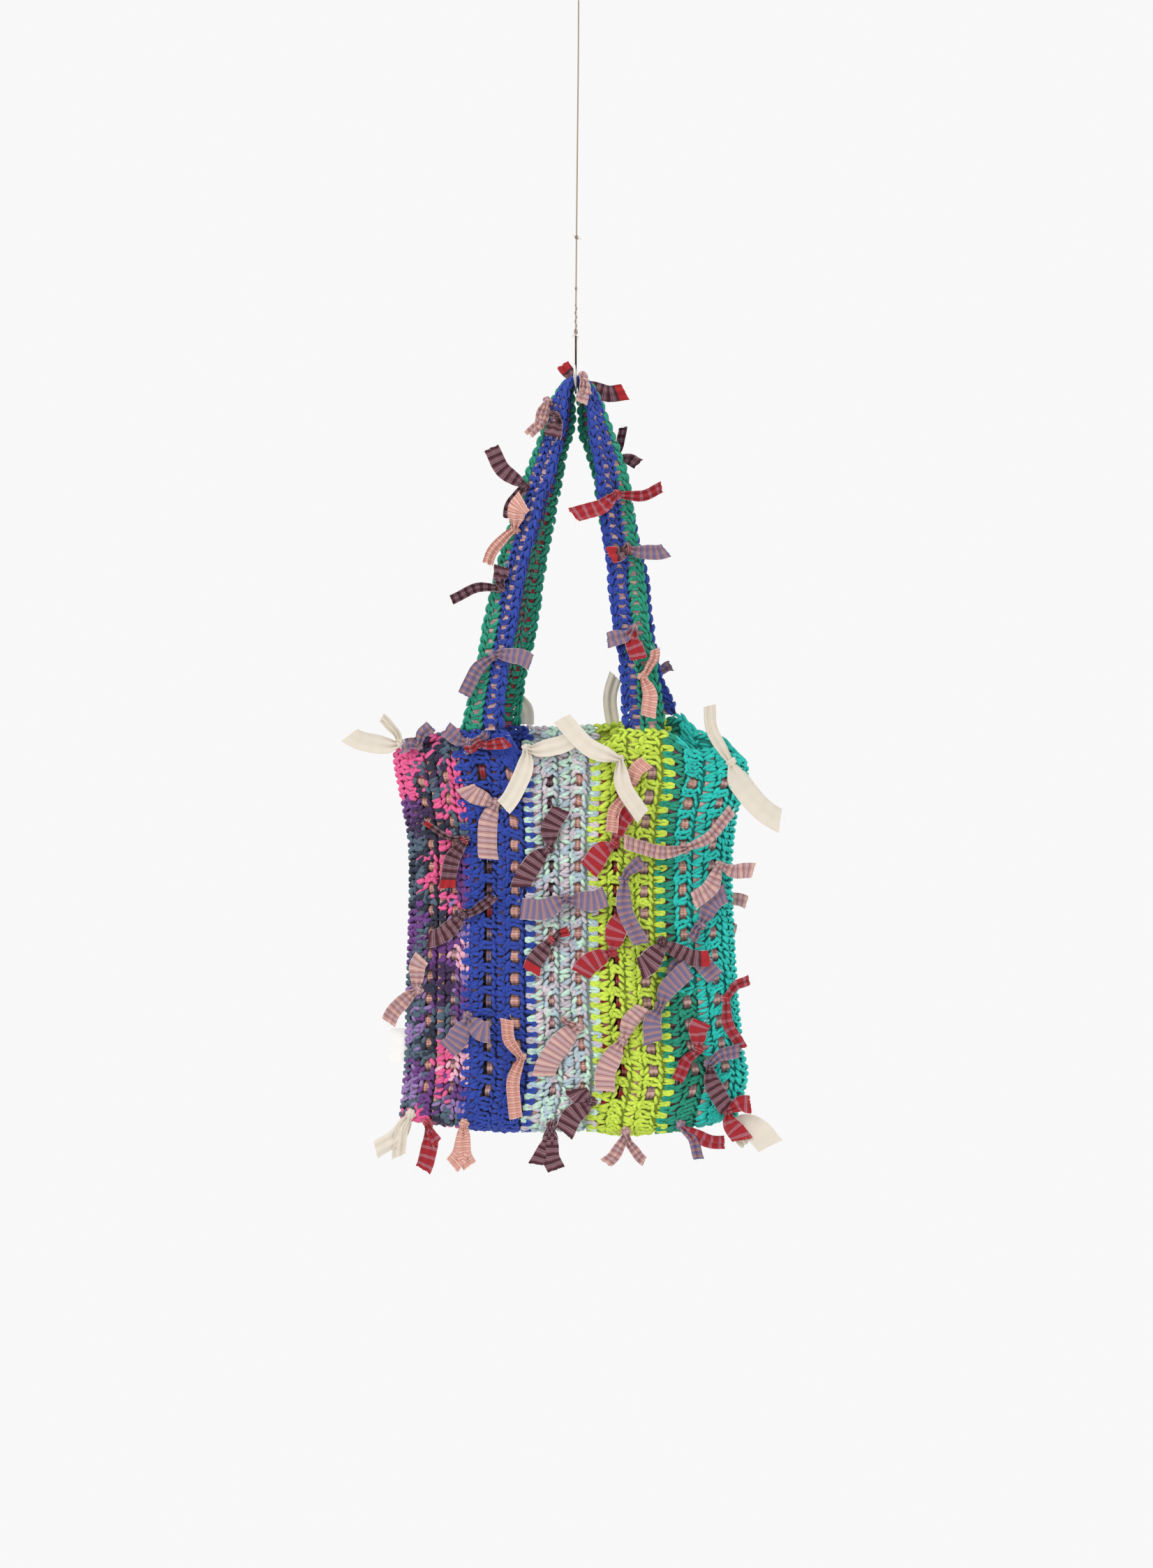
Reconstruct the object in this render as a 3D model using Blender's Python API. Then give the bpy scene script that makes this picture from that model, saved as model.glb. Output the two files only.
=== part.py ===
"""A crocheted handbag of five colour bands with cloth ties, hung by its handles from a hook on a thread.

The origin is the top of the loop that the thread hangs from, +Z is up, and the bag's front faces -Y.
The tables and the functions work in millimetres: x across from the thread, y back from the plane that
parts the front from the back, and h up from the bag's bottom line.
"""

import bisect
import math
from collections import namedtuple

import bmesh
import bpy
from mathutils import Vector

MM = 0.001
HANG_HEIGHT = 1022.0  # the loop's top above the bag's bottom line
GAP = 0.3  # left between pieces that touch

# Crochet of 3 mm yarn, worked over a strip of cloth.
WALL = 5.0
BAND_EDGES = (0.0, 0.175, 0.372, 0.570, 0.782, 1.0)  # shares of the bag's width
BAND_NAMES = ("variegated", "royal_blue", "pale_mint", "lime", "teal")
COLUMN_LINES = (0.0, 0.25, 0.40, 0.68, 0.83, 1.0)  # shares of a band, holes between lines 1-2 and 3-4
HOLE_COLUMNS = (1, 3)
SEAM_SHARE = 0.07  # width of the side seam as a share of the outer bands

# The outline, as (height, x) for the sides and (x, height) for the mouth and the fold.
LEFT_SIDE = (
    (0, -158), (62, -152), (112, -151), (206, -148), (262, -149), (300, -156), (334, -162), (352, -159),
)
RIGHT_SIDE = (
    (0, 136), (12, 138), (50, 148), (75, 144), (138, 138), (231, 134), (281, 138), (319, 148), (352, 145),
)
FRONT_MOUTH = (
    (-159, 347), (-135, 338), (-124, 346), (-106, 355), (-98, 356), (-81, 356), (-67, 355), (-48, 335),
    (-28, 341), (-6, 346), (13, 337), (38, 355), (57, 356), (78, 355), (92, 347), (102, 338), (121, 340),
    (145, 332),
)
BACK_MOUTH = (
    (-159, 347), (-92, 359), (-18, 359), (32, 362), (52, 366), (79, 367), (91, 370), (107, 357),
    (129, 350), (145, 333),
)
MOUTH_LEVELS = (347.0, 359.0)  # the front and the back mouth but for their dips
DIP_SHARE = 0.35  # the share of a panel's height over which the dips fade out, above level rows
FOLD_LINE = ((-159, 12), (-118, 6), (-81, 1), (-43, 0), (13, 1), (44, -3), (82, -1), (119, 5), (138, 11))

# How far the front and the back bulge from the middle plane, by height, and at the side seams.
BULGE = ((40, 14.5), (120, 17), (220, 20), (340, 22))
SEAM_BULGE = 5.5
SOFT_FOLD_COLUMNS = "side u spread depth low full"
SoftFold = namedtuple("SoftFold", SOFT_FOLD_COLUMNS)
SOFT_FOLDS = (
    SoftFold(-1, 0.868, 0.040, -10.0, 245, 335),  # where the mouth turns in at the right
    SoftFold(-1, 0.470, 0.070, -2.5, 230, 330),
    SoftFold(-1, 0.270, 0.050, -2.0, 60, 170),
    SoftFold(-1, 0.640, 0.060, 1.8, 60, 190),
    SoftFold(1, 0.180, 0.060, -3.0, 120, 300),
    SoftFold(1, 0.520, 0.080, -3.5, 180, 320),
    SoftFold(1, 0.780, 0.060, 2.0, 60, 220),
)

# Rows of holes, measured down from the mouth.
FRONT_LENGTH, FRONT_HOLES, FRONT_TOP, FRONT_PITCH = 335.0, 15, 25.0, 20.0
BACK_LENGTH, BACK_HOLES, BACK_TOP, BACK_PITCH = 348.0, 13, 44.0, 22.5
HOLE_SHARE = 0.6  # of the pitch
TIE_ROW = (7.0, 17.0)  # a row of stitches above the holes that ties can pass
FOLD_STEPS = 5
FOLD_TIE_STEP = 1  # the step of the fold, counted from the front, that ties can pass

# The carried strip that shows behind each column of holes.
STRIP_GAP, STRIP_THICK = 1.1, 1.0
STRIP_SHARES = (0.32, 1.0)  # of a hole's width
STRIP_FRONT_STOPS = (8, 40, 80, 150, 220, 290)
STRIP_BACK_STOPS = (290, 230, 165, 100, 30)

# Ties: a stem through the crochet, a knot outside it and two tails.
CLOTH = 1.2
STEM_HALF = (1.7, 1.9)
STEM_OUT = 0.6
KNOT_TOP, KNOT_HALF = 5.6, (5.0, 4.4)
KNOT_REACH = 9.0  # the furthest that a knot sits from its hole
ROOT_WIDTH, ROOT_OUT, ROOTS_APART = 6.0, 4.0, 0.8
TAIL_OUT, LAYER_STEP, TIP_LIFT = 4.0, 3.2, 1.5
LONG_TAIL = 40.0
TAIL_BEND = 0.10

CLOTHS = {
    "pink_pinstripe": (0.80, 0.56, 0.54),
    "salmon_stripe": (0.84, 0.52, 0.46),
    "lilac_stripe": (0.53, 0.42, 0.52),
    "burgundy_stripe": (0.27, 0.09, 0.15),
    "red_stripe": (0.58, 0.04, 0.06),
    "cream_calico": (0.86, 0.80, 0.70),
}
P, S, L, B, R, C = range(len(CLOTHS))

Tie = namedtuple("Tie", "cloth knot_x knot_h a_x a_h a_width b_x b_h b_width layer")
FRONT_TIES = (
    Tie(C, -159, 347, -204, 355, 18, -176, 370, 9, 0),
    Tie(L, -143, 345, -131, 362, 12, -157, 344, 13, 1),
    Tie(L, -98, 347, -118, 360, 14, -82, 356, 8, 0),
    Tie(R, -88, 347, -100, 340, 8, -63, 349, 11, 1),
    Tie(C, -46, 342, -67, 290, 16, -6, 351, 16, 1),
    Tie(C, 36, 332, -15, 369, 16, 57, 282, 15, 2),
    Tie(P, -73, 294, -101, 308, 16, -79, 244, 18, 0),
    Tie(B, -101, 261, -137, 277, 5, -117, 218, 14, 0),
    Tie(B, -103, 195, -134, 172, 15, -76, 212, 9, 0),
    Tie(B, -26, 253, -16, 289, 17, -51, 219, 18, 0),
    Tie(R, 32, 258, 48, 288, 14, 9, 234, 19, 0),
    Tie(S, 43, 303, 60, 330, 14, 29, 268, 11, 0),
    Tie(P, 95, 253, 40, 261, 12, 136, 288, 10, 2),
    Tie(L, 40, 226, 57, 242, 12, 56, 169, 14, 1),
    Tie(L, -11, 209, -51, 200, 19, 24, 211, 18, 1),
    Tie(R, 30, 161, 40, 191, 20, 2, 142, 20, 0),
    Tie(B, -23, 171, -9, 181, 9, -42, 144, 16, 0),
    Tie(B, 74, 171, 54, 147, 20, 116, 155, 15, 2),
    Tie(L, 95, 157, 122, 138, 16, 82, 140, 12, 0),
    Tie(L, 72, 113, 98, 147, 18, 66, 81, 17, 1),
    Tie(P, 126, 238, 102, 206, 15, 156, 234, 14, 1),
    Tie(L, 109, 185, 131, 214, 16, 101, 172, 10, 0),
    Tie(R, 131, 119, 152, 136, 9, 146, 75, 10, 0),
    Tie(R, 107, 74, 110, 99, 18, 88, 47, 11, 0),
    Tie(L, 116, 61, 144, 73, 12, 132, 22, 16, 1),
    Tie(R, 132, 20, 153, 26, 16, 146, -6, 18, 2),
    Tie(C, 134, 10, 171, -12, 24, 150, -10, 10, 0),
    Tie(L, 91, 7, 107, -23, 10, 130, -9, 13, 0),
    Tie(B, -24, 7, -37, -27, 16, -20, -32, 16, 0),
    Tie(B, 12, 28, -2, 40, 20, -13, 1, 19, 0),
    Tie(P, 42, 1, 24, -26, 11, 59, -24, 9, 0),
    Tie(P, 39, 82, 58, 112, 15, 23, 38, 18, 0),
    Tie(P, 1, 95, -15, 103, 6, -31, 51, 20, 0),
    Tie(L, -99, 104, -117, 75, 19, -79, 89, 19, 1),
    Tie(S, -51, 68, -64, 102, 11, -55, 14, 12, 1),
    Tie(P, -143, 127, -140, 156, 15, -170, 98, 14, 0),
    Tie(C, -150, 16, -181, -16, 15, -160, -22, 12, 0),
    Tie(R, -134, 8, -139, -32, 15, -126, -9, 12, 1),
    Tie(L, -102, 8, -112, -29, 15, -97, -29, 14, 0),
    Tie(C, 136, 330, 116, 380, 11, 180, 278, 21, 0),
)
BACK_TIES = (
    Tie(C, 36, 350, 33, 408, 13, 62, 300, 15, 0),
    Tie(P, 100, 250, 76, 226, 16, 116, 214, 15, 0),
    Tie(B, -100, 220, -120, 190, 15, -76, 196, 16, 0),
    Tie(L, 10, 190, -14, 166, 17, 30, 160, 16, 0),
    Tie(P, -50, 90, -74, 70, 15, -34, 56, 16, 0),
    Tie(P, 120, 206, 151, 204, 12, 141, 178, 11, 0),
)

# A handle's edges from its left foot over the hook to its right foot. y is the middle of the strap, and turn
# is how far the inner edge stands ahead of it. Near the top the strap is folded along its length.
Station = namedtuple("Station", "x_out h_out x_in h_in y turn thick")
STATIONS = (
    Station(-105, 357.4, -66, 357.4, -17.0, 1.5, 5.0),
    Station(-101, 374, -66, 381, -17.5, 2.5, 5.0),
    Station(-92, 410, -63, 412, -17.5, 7.0, 5.0),
    Station(-84, 456, -55, 456, -17.0, 8.5, 5.0),
    Station(-75, 496, -48, 496, -16.5, 10.0, 5.0),
    Station(-67, 525, -41, 525, -16.0, 10.5, 5.0),
    Station(-56, 562, -32, 562, -16.0, 11.0, 5.0),
    Station(-48, 585, -24, 581, -15.5, 11.0, 5.0),
    Station(-40, 606, -18, 603, -15.0, 10.0, 5.5),
    Station(-31, 631, -14, 622, -13.5, 8.5, 6.0),
    Station(-24, 652, -12, 642, -12.0, 7.5, 6.0),
    Station(-17.5, 664, -10, 657, -10.5, 7.0, 6.0),
    Station(-11, 670, -8, 666, -9.0, 6.7, 6.0),
    Station(-2.2, 673, -2.2, 671, -8.5, 6.5, 6.0),
    Station(6.5, 671, 3.6, 666, -9.0, 6.7, 6.0),
    Station(13, 665, 5.6, 657, -10.5, 7.0, 6.0),
    Station(20, 652, 8, 644, -12.0, 7.5, 6.0),
    Station(28, 631, 10, 626, -13.5, 9.0, 6.0),
    Station(35, 613, 12, 609, -15.0, 10.0, 5.5),
    Station(44, 585, 16, 585, -15.5, 9.5, 5.0),
    Station(48, 559, 18, 559, -16.0, 8.5, 5.0),
    Station(52, 528, 22, 528, -16.0, 7.5, 5.0),
    Station(58, 500, 26, 500, -16.5, 6.0, 5.0),
    Station(62, 461, 29, 461, -17.0, 4.5, 5.0),
    Station(69, 419, 36, 419, -17.5, 4.5, 5.0),
    Station(74, 388, 38, 388, -17.5, 2.5, 5.0),
    Station(78, 357.4, 40, 357.4, -17.0, 1.5, 5.0),
)
APEX = 13  # the station on the hook
STRAP_LINES = (0.0, 0.22, 0.42, 0.58, 0.79, 1.0)  # across, from the outer edge, green to 0.5 and blue past it
STRAP_RELIEF = (0.0, 0.6, -0.3, -0.3, 0.6, 0.0)
STRAP_CREASE = (0.0, 0.0, 0.2, 0.6, 1.0, 0.0)  # share of the lengthwise fold's depth
CREASE_DEPTH, CREASE_LOW, CREASE_FULL = 1.0, 540, 610
STRAP_TIE_COLUMN = 2
STRAP_HOLE_HALF, STRAP_HOLE_APART = 2.6, 0.05
STRAP_STEM_SHARE = 0.055  # the widest half of a tie's stem, as a share of the strap's width
# The back handle stands to the right of the front one, and its feet are higher: (height, shift).
BACK_SHIFT_LEFT = (
    (356, 14), (400, 15.5), (450, 17.5), (490, 16), (527, 13.5), (555, 12), (600, 5), (634, 5), (662, 0),
)
BACK_SHIFT_RIGHT = ((356, 12), (380, 9), (405, 4), (500, 4), (560, 0))
BACK_RISE_LEFT = ((356, 3.4), (420, 0))
BACK_RISE_RIGHT = ((356, 14.5), (420, 0))
# Near the hook the inner edges of its two sides hang close together: (station, shift).
BACK_PINCH = (
    (8.5, 0), (10, 3), (11, 2.4), (12, 1.2), (13, 0), (14, -1.2), (15, -3.8), (16, -6), (17, -7.5), (18, -4),
    (19.5, -1), (21, 0),
)

StrapTie = namedtuple("StrapTie", "cloth station across a_x a_h a_width a_y b_x b_h b_width b_y")
FRONT_STRAP_TIES = (
    StrapTie(P, 13.6, 0.90, 1, 649, 12, -24, 7, 656, 8, -24),
    StrapTie(B, 9.6, 0.60, -24, 618, 16, -29, -19, 634, 10, -28),
    StrapTie(B, 6.5, 0.30, -78, 609, 14, -20, -62, 546, 11, -24),
    StrapTie(S, 5.3, 0.40, -49, 561, 18, -32, -81, 506, 10, -22),
    StrapTie(B, 3.7, 0.40, -67, 503, 15, -30, -113, 474, 9, -22),
    StrapTie(L, 2.3, 0.55, -42, 418, 15, -33, -101, 389, 12, -26),
    StrapTie(R, 19.7, 0.50, -5, 548, 15, -35, 74, 574, 10, -20),
    StrapTie(B, 21.3, 0.40, 27, 512, 16, -33, 78, 518, 14, -20),
    StrapTie(L, 23.3, 0.50, 25, 438, 15, -32, 54, 421, 15, -31),
    StrapTie(S, 24.4, 0.45, 61, 370, 14, -29, 68, 430, 9, -27),
    StrapTie(P, 9.95, 0.05, -44, 620, 10, -24, -35, 625, 9, -21),
)
BACK_STRAP_TIES = (
    StrapTie(B, 13.61, 0.94, -14, 691, 12, 30, 42, 664, 15, 22),
    StrapTie(B, 18.4, 0.40, 54, 599, 11, 12, 40, 632, 8, 14),
    StrapTie(C, 1.5, 0.70, -48, 365, 16, 32, -66, 362, 10, 32),
    StrapTie(L, 24.5, 0.25, 84, 417, 10, 22, 66, 395, 10, 28),
)

# The hook: steel wire, as (x, y, h) along its middle. Its eye is bent from the same wire.
HOOK_WIRE = 1.8
EYE_RADIUS, EYE_HEIGHT, EYE_STEPS = 3.2, 708.0, 10
EYE_OPEN = 35.0  # degrees that the eye's wire stops short of the shank
HOOK_ROUTE = (
    (-2.5, 1.5, 700.0), (-2.5, 7.0, 691.0), (-2.5, 13.6, 682.0), (-2.5, 16.8, 674.0), (-2.5, 16.3, 666.0),
    (-2.5, 12.0, 662.2), (-2.5, 0.0, 661.8), (-2.5, -12.5, 662.2), (-2.6, -17.4, 665.8), (-3.2, -19.4, 674.0),
    (-3.6, -19.2, 684.5),
)
HOOK_POINTS = 22

# The hanging thread, and the loop that it ends in.
THREAD_WIDTH = 1.3
THREAD_ROUTE = (
    (-2.5, 0.0, 713.0), (-2.4, 0.0, 740.0), (-1.9, 0.0, 800.0), (-1.2, 0.0, 870.0), (-0.4, 0.0, 950.0),
    (0.0, 0.0, 1012.1),
)
THREAD_POINTS = 14
LOOP_RADIUS, LOOP_STEPS, LOOP_SIDES = 4.1, 14, 6

# A bare tape label, sewn in at the left side seam.
LABEL_LOW, LABEL_HIGH, LABEL_REACH, LABEL_THICK = 62.0, 92.0, 17.0, 1.0

YARNS = {
    "variegated": (0.36, 0.15, 0.34),
    "royal_blue": (0.03, 0.06, 0.40),
    "pale_mint": (0.60, 0.68, 0.66),
    "lime": (0.62, 0.80, 0.06),
    "teal": (0.0, 0.52, 0.48),
    "emerald": (0.0, 0.32, 0.22),
}


def material(name, colour, roughness, metallic=0.0):
    """A Principled material, made once for each name."""
    if name in bpy.data.materials:
        return bpy.data.materials[name]
    made = bpy.data.materials.new(name)
    made.use_nodes = True
    made.diffuse_color = (*colour, 1.0)
    shader = made.node_tree.nodes["Principled BSDF"]
    shader.inputs["Base Color"].default_value = (*colour, 1.0)
    shader.inputs["Roughness"].default_value = roughness
    shader.inputs["Metallic"].default_value = metallic
    return made


def curve_at(points, at):
    """The smooth curve through (place, value) points, level past its ends."""
    if at <= points[0][0]:
        return points[0][1]
    if at >= points[-1][0]:
        return points[-1][1]
    i = bisect.bisect_right([place for place, _ in points], at)
    (x0, y0), (x1, y1) = points[i - 1], points[i]
    before, after = points[max(i - 2, 0)], points[min(i + 1, len(points) - 1)]
    slope0 = (y1 - before[1]) / (x1 - before[0])
    slope1 = (after[1] - y0) / (after[0] - x0)
    span, t = x1 - x0, (at - x0) / (x1 - x0)
    rest = 1.0 - t
    return (
        (1 + 2 * t) * rest * rest * y0
        + t * rest * rest * span * slope0
        + t * t * (3 - 2 * t) * y1
        - t * t * rest * span * slope1
    )


def ease(at, low, full):
    """0 at low and below, 1 at full and above, smooth between."""
    t = min(max((at - low) / (full - low), 0.0), 1.0)
    return t * t * (3 - 2 * t)


# The bag's surface


def side_to_side(u, h):
    """x at the share u of the bag's width, from its left side."""
    left = curve_at(LEFT_SIDE, h)
    return left + u * (curve_at(RIGHT_SIDE, h) - left)


def roundness(u):
    return max(1.0 - abs(2 * u - 1) ** 2.5, 0.0) ** 0.7


def fold_radius(u):
    return SEAM_BULGE + (BULGE[0][1] - SEAM_BULGE) * roundness(u)


def bulge(u, h, side):
    """How far the front (side -1) or the back (side 1) stands from the middle plane."""
    depth = SEAM_BULGE + (curve_at(BULGE, h) - SEAM_BULGE) * roundness(u)
    for fold in SOFT_FOLDS:
        if fold.side == side:
            near = math.exp(-(((u - fold.u) / fold.spread) ** 2))
            depth += fold.depth * near * ease(h, fold.low, fold.full)
    return depth


def fold_top(u):
    """The height at which the front turns into the fold."""
    return curve_at(FOLD_LINE, side_to_side(u, BULGE[0][0])) + fold_radius(u)


def mouth_top(u, side):
    return curve_at(FRONT_MOUTH if side < 0 else BACK_MOUTH, side_to_side(u, LEFT_SIDE[-1][0]))


def shell(u, v):
    """The outer face: v runs down the front (0 to 1), round the fold (1 to 2) and up the back (2 to 3)."""
    start, radius = fold_top(u), fold_radius(u)
    if 1 < v < 2:
        turn = math.pi * (v - 1)
        return Vector((side_to_side(u, start), -radius * math.cos(turn), start - radius * math.sin(turn)))
    side = -1 if v <= 1 else 1
    level, share = MOUTH_LEVELS[side > 0], v if side < 0 else 3 - v
    dip = (mouth_top(u, side) - level) * max(1 - share / DIP_SHARE, 0) ** 2
    h = level + (start - level) * share + dip
    return Vector((side_to_side(u, h), side * bulge(u, h, side), h))


def bag_point(u, v, out):
    """A point the distance out from the outer face, measured square to it."""
    step = 1e-3
    across = shell(u + step, v) - shell(u - step, v)
    along = shell(u, v + step) - shell(u, v - step)
    return shell(u, v) - across.cross(along).normalized() * out


def bag_width(u_share=1.0):
    """The bag's width at half height, for turning millimetres into shares."""
    return u_share * (side_to_side(1, FRONT_LENGTH / 2) - side_to_side(0, FRONT_LENGTH / 2))


def front_y(x, h, side=-1):
    """y of the outer face at this place, carried on level beyond the outline."""
    u = 0.5
    for _ in range(2):
        level = min(max(h, fold_top(u)), mouth_top(u, side))
        left, right = side_to_side(0, level), side_to_side(1, level)
        u = min(max((x - left) / (right - left), 0.0), 1.0)
    return side * bulge(u, level, side)


# The handles


def station(k):
    """The strap's edges and thickness at the place k along it, as one smooth curve through the stations."""
    fields = range(len(Station._fields))
    columns = [curve_at([(i, row[c]) for i, row in enumerate(STATIONS)], k) for c in fields]
    return Station(*columns)


def strap_frame(k):
    """(outer edge, inner edge, outward direction, thickness) of the front strap."""
    here = station(k)
    outer = Vector((here.x_out, here.y + here.turn, here.h_out))
    inner = Vector((here.x_in, here.y - here.turn, here.h_in))
    ahead, behind = station(k + 0.1), station(k - 0.1)
    along = Vector((
        ahead.x_out + ahead.x_in - behind.x_out - behind.x_in,
        2 * (ahead.y - behind.y),
        ahead.h_out + ahead.h_in - behind.h_out - behind.h_in,
    ))
    return outer, inner, (inner - outer).cross(along).normalized(), here.thick


def strap_point(side, k, share, out):
    """A point the distance out from the strap's middle, at a share of the way from its outer edge."""
    outer, inner, outward, _ = strap_frame(k)
    point = outer + (inner - outer) * share + outward * out
    if side > 0:
        left = k < APEX
        shift = curve_at(BACK_SHIFT_LEFT if left else BACK_SHIFT_RIGHT, point.z)
        rise = curve_at(BACK_RISE_LEFT if left else BACK_RISE_RIGHT, point.z)
        pinch = curve_at(BACK_PINCH, k) * share
        point = Vector((point.x + shift + pinch, -point.y, point.z + rise))
    return point


def strap_relief(k, line):
    """How far a line along the strap stands out from its flat form."""
    depth = CREASE_DEPTH * ease(station(k).h_in, CREASE_LOW, CREASE_FULL)
    return STRAP_RELIEF[line] - depth * STRAP_CREASE[line]


def strap_drop(k):
    """How far the strap's middle column hangs under its flat form."""
    return max(-strap_relief(k, line) for line in (STRAP_TIE_COLUMN, STRAP_TIE_COLUMN + 1))


def strap_mm(k):
    """Millimetres along the strap for one station."""
    return (strap_point(-1, k + 0.2, 0.5, 0) - strap_point(-1, k - 0.2, 0.5, 0)).length / 0.4


# Making solids


def to_object(name, mesh, materials):
    """The mesh as an object in metres, with its faces pointing out."""
    for vertex in mesh.verts:
        vertex.co = (vertex.co - Vector((0, 0, HANG_HEIGHT))) * MM
    bmesh.ops.recalc_face_normals(mesh, faces=mesh.faces)
    data = bpy.data.meshes.new(name)
    mesh.to_mesh(data)
    mesh.free()
    made = bpy.data.objects.new(name, data)
    for one in materials:
        data.materials.append(one)
    bpy.context.scene.collection.objects.link(made)
    return made


def loft(rings):
    """A closed body through rings of points, with flat ends."""
    mesh = bmesh.new()
    made = [[mesh.verts.new(point) for point in ring] for ring in rings]
    count = len(rings[0])
    for first, second in zip(made, made[1:]):
        for i in range(count):
            mesh.faces.new((first[i], first[(i + 1) % count], second[(i + 1) % count], second[i]))
    mesh.faces.new(made[0])
    mesh.faces.new(made[-1])
    return mesh


def wall_of_cells(point, columns, rows, voids, sparse=(), loose=(), seam=None):
    """A wall between an outer and an inner grid of points, open where a cell is in voids.

    point(line, row, inner) gives the grid. A line in sparse has no points at the rows in loose. seam is the
    number of the column that joins the first half of the rows to the last, as a solid edge.
    """
    mesh = bmesh.new()
    made = {}

    def vertex(line, row, inner):
        key = (line, row, inner)
        if key not in made:
            made[key] = mesh.verts.new(point(*key))
        return made[key]

    def has(line, row):
        return not (line in sparse and row in loose)

    def rim(first, second):
        outer = (vertex(*first, False), vertex(*second, False))
        inner = (vertex(*second, True), vertex(*first, True))
        mesh.faces.new(outer + inner)

    for column in range(columns):
        right = column + 1
        stops = [row for row in range(rows) if has(column, row) and has(right, row)]
        for a, b in zip(stops, stops[1:]):
            ring = [(column, row) for row in range(a, b + 1) if has(column, row)]
            ring += [(right, row) for row in range(b, a - 1, -1) if has(right, row)]
            if (a, column) in voids:
                for first, second in zip(ring, ring[1:] + ring[:1]):
                    rim(first, second)
                continue
            mesh.faces.new([vertex(*place, False) for place in ring])
            if column != seam:
                mesh.faces.new([vertex(*place, True) for place in ring])
        if column != seam:
            rim((column, 0), (right, 0))
            rim((column, rows - 1), (right, rows - 1))
    for line, beside in ((0, 0), (columns, columns - 1)):
        if beside != seam:
            stops = [row for row in range(rows) if has(line, row)]
            for a, b in zip(stops, stops[1:]):
                rim((line, a), (line, b))
    if seam is not None:
        close_seam(mesh, vertex, has, seam, 0 if seam == 0 else columns, rows)
    return mesh


def close_seam(mesh, vertex, has, seam, edge, rows):
    """Joins the front's edge to the back's along a bag's side."""
    inside = seam + 1 if edge == seam else seam
    for line, inner in ((edge, False), (inside, True)):
        stops = [row for row in range(rows) if has(line, row)]
        for i in range(len(stops) // 2 - 1):
            a, b, c, d = stops[i], stops[i + 1], stops[-2 - i], stops[-1 - i]
            mesh.faces.new([vertex(line, row, inner) for row in (a, b, c, d)])
    last = rows - 1
    top = ((edge, 0, False), (inside, 0, False), (inside, 0, True),
           (inside, last, True), (inside, last, False), (edge, last, False))
    mesh.faces.new([vertex(*place) for place in top])


def join_all(base, pieces):
    """Joins closed bodies that overlap the base into it."""
    group = bpy.data.collections.new(base.name + "_pieces")
    bpy.context.scene.collection.children.link(group)
    for piece in pieces:
        bpy.context.scene.collection.objects.unlink(piece)
        group.objects.link(piece)
        piece.hide_render = True
        piece.display_type = "WIRE"
    joined = base.modifiers.new("joined", "BOOLEAN")
    joined.operation = "UNION"
    joined.solver = "EXACT"
    joined.operand_type = "COLLECTION"
    joined.collection = group


# Rows and columns of the crochet


def row_table():
    """(places along v, rows of holes, upper tie row, the fold's tie row, rows that are left out of lines)."""
    down, loose, holes = [0.0, *TIE_ROW], {1, 2}, []
    for n in range(FRONT_HOLES):
        start = FRONT_TOP + FRONT_PITCH * n
        holes.append(len(down))
        loose |= {len(down) + 1} | ({len(down)} if n % 2 else set())
        down += [start, start + FRONT_PITCH * HOLE_SHARE]
    down += [FRONT_TOP + FRONT_PITCH * FRONT_HOLES, FRONT_LENGTH]
    places = [d / FRONT_LENGTH for d in down]
    fold_tie = len(places) - 1 + FOLD_TIE_STEP
    places += [1 + n / FOLD_STEPS for n in range(1, FOLD_STEPS + 1)]
    up = [BACK_TOP + BACK_PITCH * BACK_HOLES]
    for n in reversed(range(BACK_HOLES)):
        start = BACK_TOP + BACK_PITCH * n
        at = len(places) + len(up)
        holes.append(at)
        loose |= {at} | ({at + 1} if n % 2 else set())
        up += [start + BACK_PITCH * HOLE_SHARE, start]
    up += [BACK_TOP / 2, 0.0]
    places += [3 - d / BACK_LENGTH for d in up]
    return places, holes, 1, fold_tie, loose


ROWS, HOLE_ROWS, UPPER_TIE_ROW, FOLD_TIE_ROW, LOOSE_ROWS = row_table()


def band_lines(band):
    """Shares of the bag's width at a band's column lines, and the column that is a side seam."""
    low, high = BAND_EDGES[band], BAND_EDGES[band + 1]
    lines = [low + (high - low) * share for share in COLUMN_LINES]
    half_gap = 0.5 * GAP / bag_width()
    if band > 0:
        lines[0] += half_gap
    if band < len(BAND_NAMES) - 1:
        lines[-1] -= half_gap
    if band == 0:
        lines.insert(1, low + (high - low) * SEAM_SHARE)
        return lines, 0
    if band == len(BAND_NAMES) - 1:
        lines.insert(-1, high - (high - low) * SEAM_SHARE)
        return lines, len(lines) - 2
    return lines, None


def hole_column(column):
    """The left and right lines of one of the ten columns of holes, as shares of the bag's width."""
    band, which = divmod(column, len(HOLE_COLUMNS))
    low, high = BAND_EDGES[band], BAND_EDGES[band + 1]
    line = HOLE_COLUMNS[which]
    return low + (high - low) * COLUMN_LINES[line], low + (high - low) * COLUMN_LINES[line + 1]


def strip_lines(column):
    """The carried strip's edges, as shares of the bag's width. It leaves the left of each hole open."""
    left, right = hole_column(column)
    return [left + (right - left) * share for share in STRIP_SHARES]


def tie_places():
    """Each place that a tie can pass: (column, row)."""
    front = [row for row in HOLE_ROWS if ROWS[row] < 1] + [UPPER_TIE_ROW, FOLD_TIE_ROW]
    back = [row for row in HOLE_ROWS if ROWS[row] > 2]
    return front, back


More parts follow.
